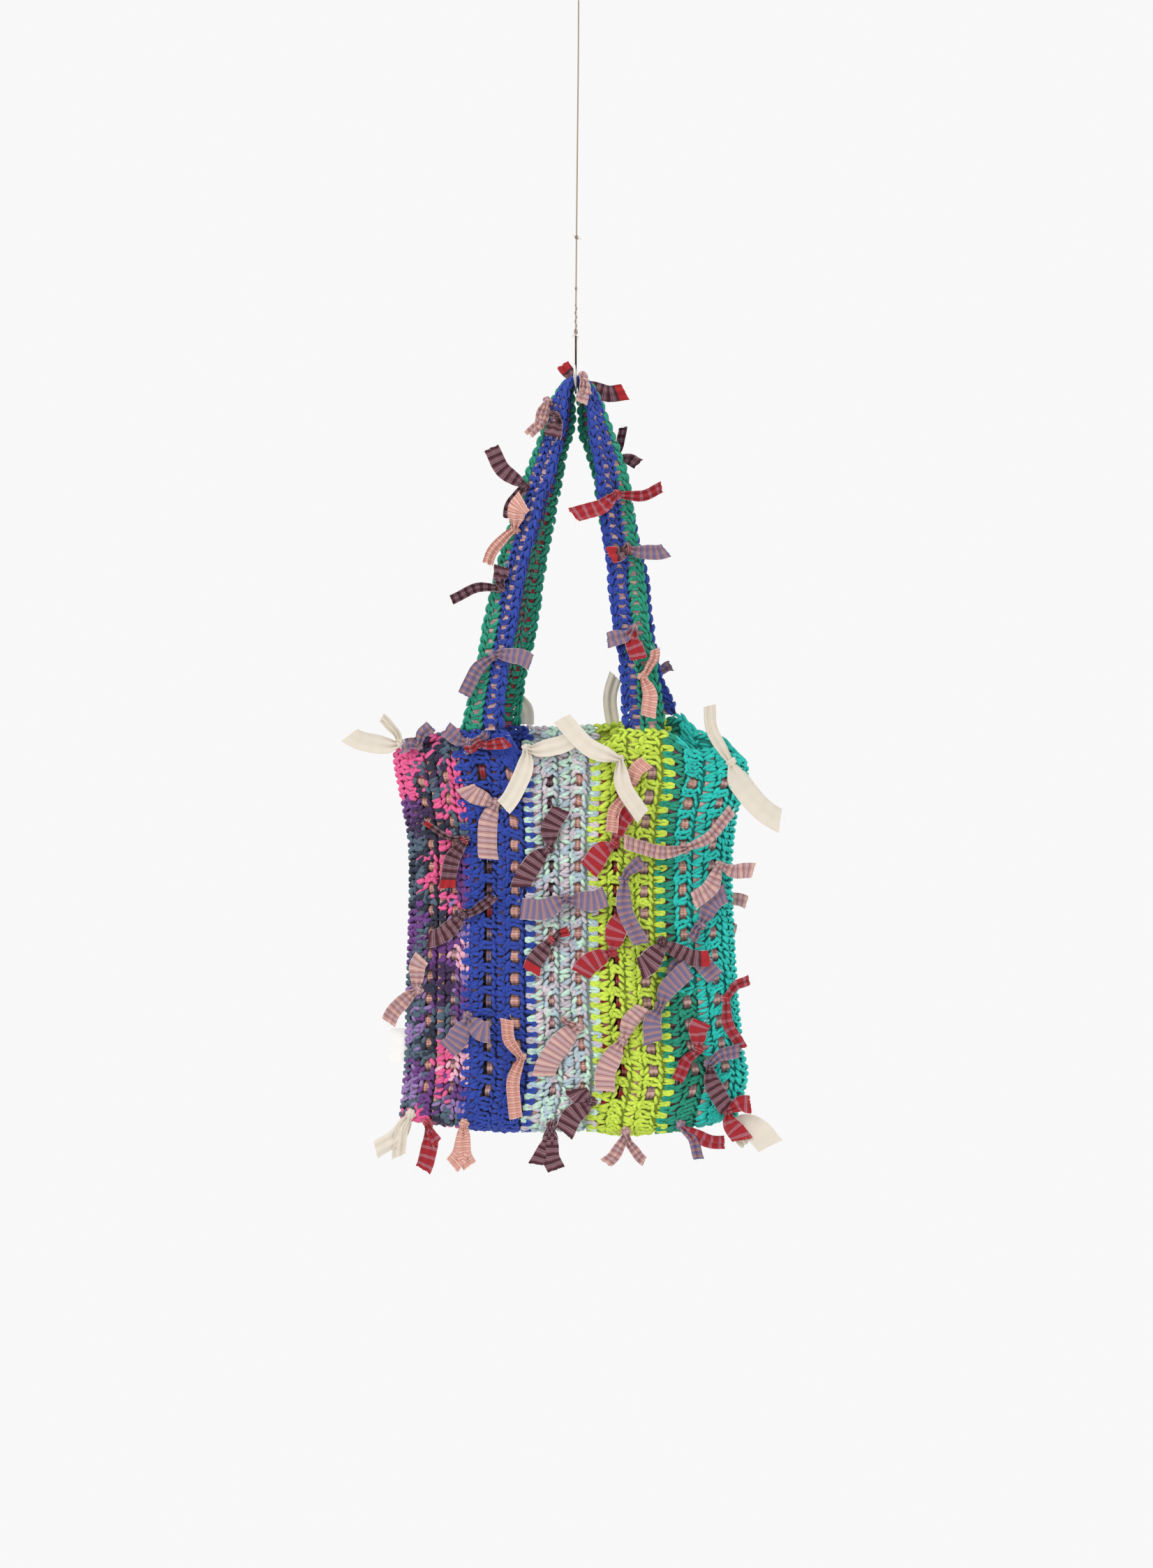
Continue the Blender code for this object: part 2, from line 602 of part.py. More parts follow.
def nearest_place(tie, side):
    """The column and row of the crochet that the tie passes through."""
    rows = tie_places()[0 if side < 0 else 1]

    def far(place):
        column, row = place
        middle = shell(sum(strip_lines(column)) / 2, (ROWS[row] + ROWS[row + 1]) / 2)
        return (middle.x - tie.knot_x) ** 2 + (middle.z - tie.knot_h) ** 2

    return min(((c, r) for c in range(len(BAND_NAMES) * len(HOLE_COLUMNS)) for r in rows), key=far)


# Ties


def ring_at(point, a, b, half_a, half_b, out):
    """Four corners round (a, b) on a surface, with the half sizes in the surface's own shares."""
    corners = ((-1, -1), (1, -1), (1, 1), (-1, 1))
    return [point(a + i * half_a, b + j * half_b, out) for i, j in corners]


def knot(point, hole, seat, scale, depth, widest_stem=1.0):
    """The tie from the carried strip, out through the hole and into its knot."""
    stem = (min(STEM_HALF[0] * scale[0], widest_stem), STEM_HALF[1] * scale[1])
    head = (KNOT_HALF[0] * scale[0], KNOT_HALF[1] * scale[1])
    places = ((hole, stem, -(depth + STRIP_THICK / 2)), (hole, stem, STEM_OUT), (seat, head, KNOT_TOP))
    return loft([ring_at(point, *at, *half, out) for at, half, out in places])


def tail(root, tip, width, y_at, bend):
    """A flat tail of cloth from the knot at root to its cut end. y_at gives its depth along the way."""
    run = Vector((tip[0] - root.x, 0, tip[1] - root.z))
    shares = (0.0, 0.45, 1.0) if run.length > LONG_TAIL else (0.0, 1.0)
    square = Vector((-run.z, 0, run.x)).normalized()
    rings = []
    for share in shares:
        sway = math.sin(math.pi * share) * bend * run.length
        middle = Vector((root.x, 0, root.z)) + run * share + square * sway
        half = square * (ROOT_WIDTH if share == 0 else width) / 2
        edges = (middle - half, middle + half)
        depths = [root.y if share == 0 else y_at(edge, share) for edge in edges]
        near = [Vector((e.x, d - CLOTH / 2, e.z)) for e, d in zip(edges, depths)]
        far = [Vector((e.x, d + CLOTH / 2, e.z)) for e, d in zip(edges, depths)]
        rings.append([near[0], near[1], far[1], far[0]])
    return loft(rings)


def cloth_piece(name, mesh, cloth):
    """A piece of a tie. Its faces carry the cloth's place in the list of materials."""
    for face in mesh.faces:
        face.material_index = cloth
    return to_object(name, mesh, cloth_materials())


def cloth_materials():
    return [material(name, colour, 0.85) for name, colour in CLOTHS.items()]


def bag_tie(name, tie, side, column, row):
    """The pieces of one tie on the bag."""
    length = FRONT_LENGTH if side < 0 else BACK_LENGTH
    on_panel = ROWS[row] < 1 or ROWS[row] > 2
    scale = (1 / bag_width(), 1 / length if on_panel else 1 / (math.pi * fold_radius(0.5)))
    hole = (sum(strip_lines(column)) / 2, (ROWS[row] + ROWS[row + 1]) / 2)
    centre = shell(*hole)
    shift = Vector((tie.knot_x - centre.x, 0, tie.knot_h - centre.z))
    if shift.length > KNOT_REACH:
        shift *= KNOT_REACH / shift.length
    down = 0.0 if row == FOLD_TIE_ROW else side * shift.z * scale[1]
    seat = (hole[0] + shift.x * scale[0], hole[1] + down)
    pieces = [cloth_piece(name + "_knot", knot(bag_point, hole, seat, scale, WALL + STRIP_GAP), tie.cloth)]
    ends = (((tie.a_x, tie.a_h), tie.a_width, TAIL_BEND), ((tie.b_x, tie.b_h), tie.b_width, -TAIL_BEND))
    for end, (tip, width, bend) in zip("ab", ends):
        root = bag_point(*seat, ROOT_OUT + (ROOTS_APART if end == "b" else 0))

        def y_at(edge, share):
            out = TAIL_OUT + LAYER_STEP * tie.layer + TIP_LIFT * share
            return front_y(edge.x, edge.z, side) + side * out

        pieces.append(cloth_piece(f"{name}_tail_{end}", tail(root, tip, width, y_at, bend), tie.cloth))
    return pieces


def strap_tie(name, tie, side):
    """The pieces of one tie on a handle."""
    thick = station(tie.station).thick

    def point(share, k, out):
        return strap_point(side, k, share, out + thick / 2)

    width = (strap_point(side, tie.station, 1, 0) - strap_point(side, tie.station, 0, 0)).length
    scale = (1 / width, 1 / strap_mm(tie.station))
    middle = (STRAP_LINES[STRAP_TIE_COLUMN] + STRAP_LINES[STRAP_TIE_COLUMN + 1]) / 2
    depth = thick + strap_drop(tie.station) + STRIP_GAP
    made = knot(point, (middle, tie.station), (tie.across, tie.station), scale, depth, STRAP_STEM_SHARE)
    pieces = [cloth_piece(name + "_knot", made, tie.cloth)]
    ends = (
        ((tie.a_x, tie.a_h), tie.a_width, tie.a_y, TAIL_BEND),
        ((tie.b_x, tie.b_h), tie.b_width, tie.b_y, -TAIL_BEND),
    )
    for end, (tip, size, y_tip, bend) in zip("ab", ends):
        root = point(tie.across, tie.station, ROOT_OUT + (ROOTS_APART if end == "b" else 0))

        def y_at(_, share, root=root, y_tip=y_tip):
            return root.y + (y_tip - root.y) * share ** 0.5

        pieces.append(cloth_piece(f"{name}_tail_{end}", tail(root, tip, size, y_at, bend), tie.cloth))
    return pieces


# The parts


def build_bands(tied):
    """The five colour bands, each a strip of crochet from the front mouth under the fold and up the back."""
    for band, name in enumerate(BAND_NAMES):
        lines, seam = band_lines(band)
        first = 1 if seam == 0 else 0
        voids = {(row, first + column) for row in HOLE_ROWS for column in HOLE_COLUMNS}
        for column, row in tied:
            if column // len(HOLE_COLUMNS) == band:
                voids.add((row, first + HOLE_COLUMNS[column % len(HOLE_COLUMNS)]))
        sparse = {0, len(lines) - 1}
        if seam is not None:
            sparse |= {seam, seam + 1}

        def point(line, row, inner, lines=lines):
            return bag_point(lines[line], ROWS[row], -WALL if inner else 0.0)

        mesh = wall_of_cells(point, len(lines) - 1, len(ROWS), voids, sparse, LOOSE_ROWS, seam)
        to_object("band_" + name, mesh, [material("yarn_" + name, YARNS[name], 0.8)])


def strip_mesh(column):
    """The carried strip behind a column of holes, down the front, round the fold and up the back."""
    left, right = strip_lines(column)
    near, far = -(WALL + STRIP_GAP), -(WALL + STRIP_GAP + STRIP_THICK)
    places = [d / FRONT_LENGTH for d in STRIP_FRONT_STOPS]
    places += [1 + n / FOLD_STEPS for n in range(FOLD_STEPS + 1)]
    places += [3 - d / BACK_LENGTH for d in STRIP_BACK_STOPS]
    return loft([[bag_point(u, v, out) for u, out in ((left, near), (right, near), (right, far), (left, far))]
                 for v in places])


def build_strips(front_places, back_places):
    """The carried strips, each joined to the ties that pass through its column."""
    for column in range(len(BAND_NAMES) * len(HOLE_COLUMNS)):
        name = f"tie_strip_{column + 1:02d}"
        base = cloth_piece(name, strip_mesh(column), P if column % 3 else L)
        pieces = []
        for side, ties, places in ((-1, FRONT_TIES, front_places), (1, BACK_TIES, back_places)):
            for number, (tie, place) in enumerate(zip(ties, places)):
                if place[0] == column:
                    pieces += bag_tie(f"tie_{'front' if side < 0 else 'back'}_{number}", tie, side, *place)
        if pieces:
            join_all(base, pieces)


def strap_rows(ties):
    """Places along a handle: its stations, and both sides of each hole that a tie passes."""
    holes = []
    for tie in ties:
        half = STRAP_HOLE_HALF / strap_mm(tie.station)
        holes.append((tie.station - half, tie.station + half))
    apart = STRAP_HOLE_APART
    clear = [all(k < low - apart or k > high + apart for low, high in holes) for k in range(len(STATIONS))]
    plain = [k for k, is_clear in enumerate(clear) if is_clear]
    rows = sorted(plain + [k for hole in holes for k in hole])
    voids = {(rows.index(low), STRAP_TIE_COLUMN) for low, _ in holes}
    return rows, voids, {rows.index(k) for hole in holes for k in hole}


def build_handle(name, side, ties):
    """One strap over the hook, half green and half blue, with the strip and ties under and through it."""
    rows, voids, loose = strap_rows(ties)
    edges = set(range(len(STRAP_LINES))) - {STRAP_TIE_COLUMN, STRAP_TIE_COLUMN + 1}

    def point(line, row, inner):
        k = rows[row]
        half = station(k).thick / 2
        return strap_point(side, k, STRAP_LINES[line], strap_relief(k, line) + (-half if inner else half))

    mesh = wall_of_cells(point, len(STRAP_LINES) - 1, len(rows), voids, edges, loose)
    middle = len(STRAP_LINES) // 2 - 0.5
    yarns = [material("yarn_" + name, YARNS[name], 0.8) for name in ("emerald", "royal_blue")]
    if side > 0:
        yarns.reverse()
    shares = {}
    for line in range(len(STRAP_LINES)):
        for row in range(len(rows)):
            for inner in (False, True):
                shares[tuple(round(c, 3) for c in point(line, row, inner))] = line
    for face in mesh.faces:
        lines = [shares[tuple(round(c, 3) for c in vertex.co)] for vertex in face.verts]
        face.material_index = int(sum(lines) / len(lines) >= middle)
    to_object(name, mesh, yarns)


def build_handle_strip(name, side, ties):
    """The carried strip along the underside of a handle, joined to the handle's ties."""
    low, high = STRAP_LINES[STRAP_TIE_COLUMN] - 0.04, STRAP_LINES[STRAP_TIE_COLUMN + 1] + 0.04
    rings = []
    for k in range(1, len(STATIONS) - 1):
        near = -(station(k).thick / 2 + strap_drop(k) + STRIP_GAP)
        far = near - STRIP_THICK
        rings.append([strap_point(side, k, share, out)
                      for share, out in ((low, near), (high, near), (high, far), (low, far))])
    base = cloth_piece(name, loft(rings), B)
    pieces = []
    for number, tie in enumerate(ties):
        pieces += strap_tie(f"{name}_tie_{number}", tie, side)
    join_all(base, pieces)


def smooth_route(points, count):
    """count points along the smooth curve through the route's own points."""
    last = len(points) - 1
    columns = [[(i, point[c]) for i, point in enumerate(points)] for c in range(3)]
    return [Vector([curve_at(column, last * n / (count - 1)) for column in columns]) for n in range(count)]


def wire(name, points, width, resolution, one):
    """A round tube along the points."""
    curve = bpy.data.curves.new(name, "CURVE")
    curve.dimensions = "3D"
    curve.bevel_depth = width / 2 * MM
    curve.bevel_resolution = resolution
    curve.use_fill_caps = True
    line = curve.splines.new("POLY")
    line.points.add(len(points) - 1)
    for place, point in zip(line.points, points):
        place.co = (*((point - Vector((0, 0, HANG_HEIGHT))) * MM), 1.0)
    curve.materials.append(one)
    made = bpy.data.objects.new(name, curve)
    bpy.context.scene.collection.objects.link(made)
    return made


def build_hook():
    """The wire hook: an eye, a shank that leans back, and a bend under both handles, its tip at the front."""
    steel = material("steel_wire", (0.32, 0.29, 0.27), 0.35, 1.0)
    x, start = HOOK_ROUTE[0][0], math.radians(-90 - EYE_OPEN)
    eye = []
    for n in range(EYE_STEPS + 1):
        turn = start - (2 * math.pi - math.radians(2 * EYE_OPEN)) * n / EYE_STEPS
        eye.append(Vector((x, EYE_RADIUS * math.cos(turn), EYE_HEIGHT + EYE_RADIUS * math.sin(turn))))
    wire("hanging_hook", eye + smooth_route(HOOK_ROUTE, HOOK_POINTS), HOOK_WIRE, 1, steel)


def build_thread():
    """The taut thread up from the hook's eye, and the small loop at its end."""
    yarn = material("linen_thread", (0.45, 0.38, 0.30), 0.8)
    wire("hanging_thread", smooth_route(THREAD_ROUTE, THREAD_POINTS), THREAD_WIDTH, 1, yarn)
    mesh = bmesh.new()
    rings = []
    for n in range(LOOP_STEPS):
        turn = 2 * math.pi * n / LOOP_STEPS
        ring = []
        for m in range(LOOP_SIDES):
            round_it = 2 * math.pi * m / LOOP_SIDES
            reach = LOOP_RADIUS + THREAD_WIDTH / 2 * math.cos(round_it)
            height = HANG_HEIGHT - LOOP_RADIUS - THREAD_WIDTH / 2 + reach * math.cos(turn)
            place = (reach * math.sin(turn), THREAD_WIDTH / 2 * math.sin(round_it), height)
            ring.append(mesh.verts.new(place))
        rings.append(ring)
    for first, second in zip(rings, rings[1:] + rings[:1]):
        for m in range(LOOP_SIDES):
            after = (m + 1) % LOOP_SIDES
            mesh.faces.new((first[m], first[after], second[after], second[m]))
    to_object("thread_loop", mesh, [yarn])


def build_label():
    """The bare tape tab at the left side seam, a little curled."""
    middle = (LABEL_LOW + LABEL_HIGH) / 2
    seam = min(side_to_side(0, h) for h in (LABEL_LOW, middle, LABEL_HIGH)) - 2 * GAP
    rings = []
    for share, curl in ((0.0, 0.0), (0.5, -0.8), (1.0, -2.6)):
        x, half = seam - LABEL_REACH * share, LABEL_THICK / 2
        rings.append([Vector((x, curl - half, LABEL_LOW)), Vector((x, curl - half, LABEL_HIGH)),
                      Vector((x, curl + half, LABEL_HIGH)), Vector((x, curl + half, LABEL_LOW))])
    to_object("side_label", loft(rings), [material("white_tape", (0.9, 0.9, 0.88), 0.7)])


def main():
    for old in list(bpy.data.objects):
        bpy.data.objects.remove(old, do_unlink=True)
    front_places = [nearest_place(tie, -1) for tie in FRONT_TIES]
    back_places = [nearest_place(tie, 1) for tie in BACK_TIES]
    build_bands(set(front_places + back_places))
    build_strips(front_places, back_places)
    build_handle("handle_front", -1, FRONT_STRAP_TIES)
    build_handle("handle_back", 1, BACK_STRAP_TIES)
    build_handle_strip("handle_strip_front", -1, FRONT_STRAP_TIES)
    build_handle_strip("handle_strip_back", 1, BACK_STRAP_TIES)
    build_hook()
    build_thread()
    build_label()


main()
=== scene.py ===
"""Looks of a crocheted handbag with knotted cloth ties, hung from a wire hook on a thread.

The tables and the functions work in millimetres, as the part does: x across from the thread, y back from the
plane that parts the front from the back, and h up from the bag's bottom line. Stitches are laid out on the
flat fabric, as (across the band, down the band from the front mouth, out from the wall).
"""

import math
from collections import namedtuple

import bpy
import numpy as np
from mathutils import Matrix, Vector


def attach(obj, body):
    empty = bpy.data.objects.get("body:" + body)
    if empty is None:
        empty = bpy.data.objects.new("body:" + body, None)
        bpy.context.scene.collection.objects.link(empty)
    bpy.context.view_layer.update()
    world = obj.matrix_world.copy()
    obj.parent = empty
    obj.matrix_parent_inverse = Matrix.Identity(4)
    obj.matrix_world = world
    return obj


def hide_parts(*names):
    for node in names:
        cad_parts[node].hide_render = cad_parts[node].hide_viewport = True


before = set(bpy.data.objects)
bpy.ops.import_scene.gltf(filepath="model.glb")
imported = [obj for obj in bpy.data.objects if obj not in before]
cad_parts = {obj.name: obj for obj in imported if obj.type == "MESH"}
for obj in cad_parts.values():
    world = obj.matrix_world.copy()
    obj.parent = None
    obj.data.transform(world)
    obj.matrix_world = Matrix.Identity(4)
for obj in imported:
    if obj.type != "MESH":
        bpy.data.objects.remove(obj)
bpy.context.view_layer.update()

MM = 0.001
HANG_HEIGHT = 1022.0

# Sizes and tables of the part.

WALL = 5.0
BAND_EDGES = (0.0, 0.175, 0.372, 0.570, 0.782, 1.0)
BAND_NAMES = ("variegated", "royal_blue", "pale_mint", "lime", "teal")
HOLE_SPANS = ((0.25, 0.40), (0.68, 0.83))  # shares of a band
LEFT_SIDE = (
    (0, -158), (62, -152), (112, -151), (206, -148), (262, -149), (300, -156), (334, -162), (352, -159),
)
RIGHT_SIDE = (
    (0, 136), (12, 138), (50, 148), (75, 144), (138, 138), (231, 134), (281, 138), (319, 148), (352, 145),
)
FRONT_MOUTH = (
    (-159, 347), (-135, 338), (-124, 346), (-106, 355), (-98, 356), (-81, 356), (-67, 355), (-48, 335),
    (-28, 341), (-6, 346), (13, 337), (38, 355), (57, 356), (78, 355), (92, 347), (102, 338), (121, 340),
    (145, 332),
)
BACK_MOUTH = (
    (-159, 347), (-92, 359), (-18, 359), (32, 362), (52, 366), (79, 367), (91, 370), (107, 357),
    (129, 350), (145, 333),
)
MOUTH_LEVELS = (347.0, 359.0)  # of the front and the back but for their dips
DIP_SHARE = 0.35  # of a panel's height, down which the dips fade out
FOLD_LINE = ((-159, 12), (-118, 6), (-81, 1), (-43, 0), (13, 1), (44, -3), (82, -1), (119, 5), (138, 11))
BULGE = ((40, 14.5), (120, 17), (220, 20), (340, 22))
SEAM_BULGE = 3.2  # less than the part's, as the whipped stitches stand out from the seam
SoftFold = namedtuple("SoftFold", "side u spread depth low full")
SOFT_FOLDS = [SoftFold(*row) for row in (
    (-1, 0.868, 0.040, -10.0, 245, 335),
    (-1, 0.470, 0.070, -2.5, 230, 330),
    (-1, 0.270, 0.050, -2.0, 60, 170),
    (-1, 0.640, 0.060, 1.8, 60, 190),
    (1, 0.180, 0.060, -3.0, 120, 300),
    (1, 0.520, 0.080, -3.5, 180, 320),
    (1, 0.780, 0.060, 2.0, 60, 220),
)]
FRONT_LENGTH, FRONT_HOLES, FRONT_TOP, FRONT_PITCH = 335.0, 15, 25.0, 20.0
BACK_LENGTH, BACK_HOLES, BACK_TOP, BACK_PITCH = 348.0, 13, 44.0, 22.5
FOLD_LENGTH = 45.0
HOLE_SHARE = 0.6
STRIP_SHARES = (0.32, 1.0)  # shares of a hole's width
CLOTH_WIDTH = 17.0

P, S, L, B, R, C, BR = range(7)
CLOTH_NAMES = ("pink_pinstripe", "salmon_stripe", "lilac_stripe", "burgundy_stripe", "red_stripe",
               "cream_calico", "burgundy_red_end")
# A tie: its cloth, or its two tails' cloths, then its knot, the tails' ends and widths, and its layer, which
# is 0 where it lies on the bag
Tie = namedtuple("Tie", "cloth knot_x knot_h a_x a_h a_width b_x b_h b_width layer")
FRONT_TIES = [Tie(*row) for row in (
    (C, -159, 347, -204, 355, 18, -176, 370, 9, 0),
    (L, -143, 345, -131, 362, 12, -157, 344, 13, 1),
    (L, -98, 347, -118, 360, 14, -82, 356, 8, 0),
    (R, -88, 347, -100, 340, 8, -63, 349, 11, 1),
    (C, -46, 342, -67, 290, 16, -6, 351, 16, 1),
    (C, 36, 332, -15, 369, 16, 57, 282, 15, 2),
    (P, -73, 294, -101, 308, 16, -79, 244, 18, 0),
    (BR, -101, 261, -137, 277, 5, -117, 218, 14, 0),
    (B, -103, 195, -134, 172, 15, -76, 212, 9, 0),
    (B, -26, 253, -16, 289, 17, -51, 219, 18, 0),
    (R, 32, 258, 48, 288, 14, 9, 234, 19, 0),
    (S, 43, 303, 60, 330, 14, 29, 268, 11, 0),
    (P, 95, 253, 40, 261, 12, 136, 288, 10, 2),
    (L, 40, 226, 57, 242, 12, 56, 169, 14, 1),
    (L, -11, 209, -51, 200, 19, 24, 211, 18, 1),
    (R, 30, 161, 40, 191, 20, 2, 142, 20, 0),
    (BR, -23, 171, -9, 181, 9, -42, 144, 16, 0),
    ((B, BR), 74, 171, 54, 147, 20, 116, 155, 15, 2),
    (L, 95, 157, 122, 138, 16, 82, 140, 12, 0),
    (L, 72, 113, 98, 147, 18, 66, 81, 17, 1),
    (P, 126, 238, 102, 206, 15, 156, 234, 14, 1),
    (L, 109, 185, 131, 214, 16, 101, 172, 10, 0),
    (R, 131, 119, 152, 136, 9, 146, 75, 10, 0),
    (R, 107, 74, 110, 99, 18, 88, 47, 11, 0),
    ((L, B), 116, 61, 144, 73, 12, 132, 22, 16, 1),
    (R, 132, 20, 153, 26, 16, 146, -6, 18, 2),
    (C, 134, 10, 171, -12, 24, 150, -10, 10, 0),
    ((L, R), 91, 7, 107, -23, 10, 130, -9, 13, 0),
    (B, -24, 7, -37, -27, 16, -20, -32, 16, 0),
    (B, 12, 28, -2, 40, 20, -13, 1, 19, 0),
    (P, 42, 1, 24, -26, 11, 59, -24, 9, 0),
    (P, 39, 82, 58, 112, 15, 23, 38, 18, 0),
    (P, 1, 95, -15, 103, 6, -31, 51, 20, 0),
    (L, -99, 104, -117, 75, 19, -79, 89, 19, 1),
    (S, -51, 68, -64, 102, 11, -55, 14, 12, 1),
    (P, -143, 127, -140, 156, 15, -170, 98, 14, 0),
    (C, -150, 16, -181, -16, 15, -160, -22, 12, 0),
    (R, -134, 8, -139, -32, 15, -126, -9, 12, 1),
    (S, -102, 8, -112, -29, 15, -97, -29, 14, 0),
    (C, 136, 330, 116, 380, 11, 180, 278, 21, 0),
)]
BACK_TIES = [Tie(*row) for row in (
    (C, 36, 350, 33, 408, 13, 62, 300, 15, 0),
    (P, 100, 250, 76, 226, 16, 116, 214, 15, 0),
    (B, -100, 220, -120, 190, 15, -76, 196, 16, 0),
    (L, 10, 190, -14, 166, 17, 30, 160, 16, 0),
    (P, -50, 90, -74, 70, 15, -34, 56, 16, 0),
    (P, 120, 206, 151, 204, 12, 141, 178, 11, 0),
)]

# Places round the front strap, from its left foot over the hook: its two edges, their middle's depth and turn
Station = namedtuple("Station", "x_out h_out x_in h_in y turn thick")
STATIONS = [Station(*row) for row in (
    (-105, 357.4, -66, 357.4, -17.0, 1.5, 5.0),
    (-101, 374, -66, 381, -17.5, 2.5, 5.0),
    (-92, 410, -63, 412, -17.5, 7.0, 5.0),
    (-84, 456, -55, 456, -17.0, 8.5, 5.0),
    (-75, 496, -48, 496, -16.5, 10.0, 5.0),
    (-67, 525, -41, 525, -16.0, 10.5, 5.0),
    (-56, 562, -32, 562, -16.0, 11.0, 5.0),
    (-48, 585, -24, 581, -15.5, 11.0, 5.0),
    (-40, 606, -18, 603, -15.0, 10.0, 5.5),
    (-31, 631, -14, 622, -13.5, 8.5, 6.0),
    (-24, 652, -12, 642, -12.0, 7.5, 6.0),
    (-17.5, 664, -10, 657, -10.5, 7.0, 6.0),
    (-11, 670, -8, 666, -9.0, 6.7, 6.0),
    (-2.2, 673, -2.2, 671, -8.5, 6.5, 6.0),
    (6.5, 671, 3.6, 666, -9.0, 6.7, 6.0),
    (13, 665, 5.6, 657, -10.5, 7.0, 6.0),
    (20, 652, 8, 644, -12.0, 7.5, 6.0),
    (28, 631, 10, 626, -13.5, 9.0, 6.0),
    (35, 613, 12, 609, -15.0, 10.0, 5.5),
    (44, 585, 16, 585, -15.5, 9.5, 5.0),
    (48, 559, 18, 559, -16.0, 8.5, 5.0),
    (52, 528, 22, 528, -16.0, 7.5, 5.0),
    (58, 500, 26, 500, -16.5, 6.0, 5.0),
    (62, 461, 29, 461, -17.0, 4.5, 5.0),
    (69, 419, 36, 419, -17.5, 4.5, 5.0),
    (74, 388, 38, 388, -17.5, 2.5, 5.0),
    (78, 357.4, 40, 357.4, -17.0, 1.5, 5.0),
)]
APEX = 13
BACK_SHIFT_LEFT = (
    (356, 14), (400, 15.5), (450, 17.5), (490, 16), (527, 13.5), (555, 12), (600, 5), (634, 5), (662, 0),
)
BACK_PINCH = (  # the back strap's inner edge, drawn in near the hook, at each station
    (8.5, 0), (10, 4.2), (11, 4), (12, 2.4), (13, 0), (14, -2.4), (15, -5.4), (16, -7.6), (17, -8.5),
    (18, -4), (19.5, -1), (21, 0),
)
BACK_SHIFT_RIGHT = ((356, 12), (380, 9), (405, 4), (500, 4), (560, 0))
BACK_RISE_LEFT = ((356, 3.4), (420, 0))
BACK_RISE_RIGHT = ((356, 14.5), (420, 0))
# A tie on a strap: its knot by station and share from the outer edge, then the tails' ends, widths and depths
StrapTie = namedtuple("StrapTie", "cloth station across a_x a_h a_width a_y b_x b_h b_width b_y")
FRONT_STRAP_TIES = [StrapTie(*row) for row in (
    (P, 13.6, 0.90, 1, 649, 12, -24, 7, 656, 8, -24),
    (B, 9.6, 0.60, -24, 618, 16, -29, -19, 634, 10, -28),
    (B, 6.5, 0.30, -78, 609, 14, -20, -62, 546, 11, -24),
    (S, 5.3, 0.40, -49, 561, 18, -32, -81, 506, 10, -22),
    (B, 3.7, 0.40, -67, 503, 15, -30, -113, 474, 9, -22),
    (L, 2.3, 0.55, -42, 418, 15, -33, -101, 389, 12, -26),
    (R, 19.7, 0.50, -5, 548, 15, -35, 74, 574, 10, -20),
    ((BR, L), 21.3, 0.40, 27, 512, 16, -33, 78, 518, 14, -20),
    ((L, R), 23.3, 0.50, 25, 438, 15, -32, 54, 421, 15, -31),
    (S, 24.4, 0.45, 61, 370, 14, -29, 68, 430, 9, -27),
    (P, 9.95, 0.05, -44, 620, 10, -24, -35, 625, 9, -21),
)]
BACK_STRAP_TIES = [StrapTie(*row) for row in (
    (BR, 13.61, 0.94, -14, 691, 12, 30, 42, 664, 15, 22),
    (B, 18.4, 0.40, 54, 599, 11, 12, 40, 632, 8, 14),
    (C, 1.5, 0.70, -48, 365, 16, 32, -66, 362, 10, 32),
    (L, 24.5, 0.25, 84, 417, 10, 22, 66, 395, 10, 28),
)]

HOOK_ROUTE = (
    (-2.5, 1.5, 700.0), (-2.5, 7.0, 691.0), (-2.5, 13.6, 682.0), (-2.5, 16.8, 674.0), (-2.5, 16.3, 666.0),
    (-2.5, 12.0, 662.2), (-2.5, 0.0, 661.8), (-2.5, -12.5, 662.2), (-2.6, -17.4, 665.8),
    (-3.2, -19.4, 674.0), (-3.6, -19.2, 684.5),
)
HOOK_RADIUS, HOOK_POINTS, HOOK_SIDES = 0.9, 70, 12
TIP_POINTS = 22  # at the hook's end, bright and swollen before its point
EYE_RADIUS, EYE_HEIGHT, EYE_OPEN, EYE_STEPS = 3.2, 708.0, 35.0, 28
THREAD_WIDTH, THREAD_POINTS, THREAD_LENGTH = 1.3, 34, 299.1
THREAD_ROUTE = ((-2.5, 0.0, 713.0), (-2.4, 0.0, 740.0), (-1.9, 0.0, 800.0), (-1.2, 0.0, 870.0),
                (-0.4, 0.0, 950.0), (0.0, 0.0, 1012.1))
THREAD_KNOTS = ((800.0, 1.5), (754.0, 1.0), (716.0, 1.5))  # how high, and the radius of their wraps
THREAD_TUFTS = (((-1.9, 0.0, 800.0), 5.0, 12), ((-2.5, 0.0, 712.0), 6.0, 10))  # place, reach, fibres
LOOP_RADIUS = 4.1
LABEL_LOW, LABEL_HIGH, LABEL_REACH, LABEL_SEWN = 62.0, 92.0, 17.0, 2.0  # reach out of the seam, and into it

# Stitches, each a few strands of yarn. A strand is points along its middle, as (across, down, out).

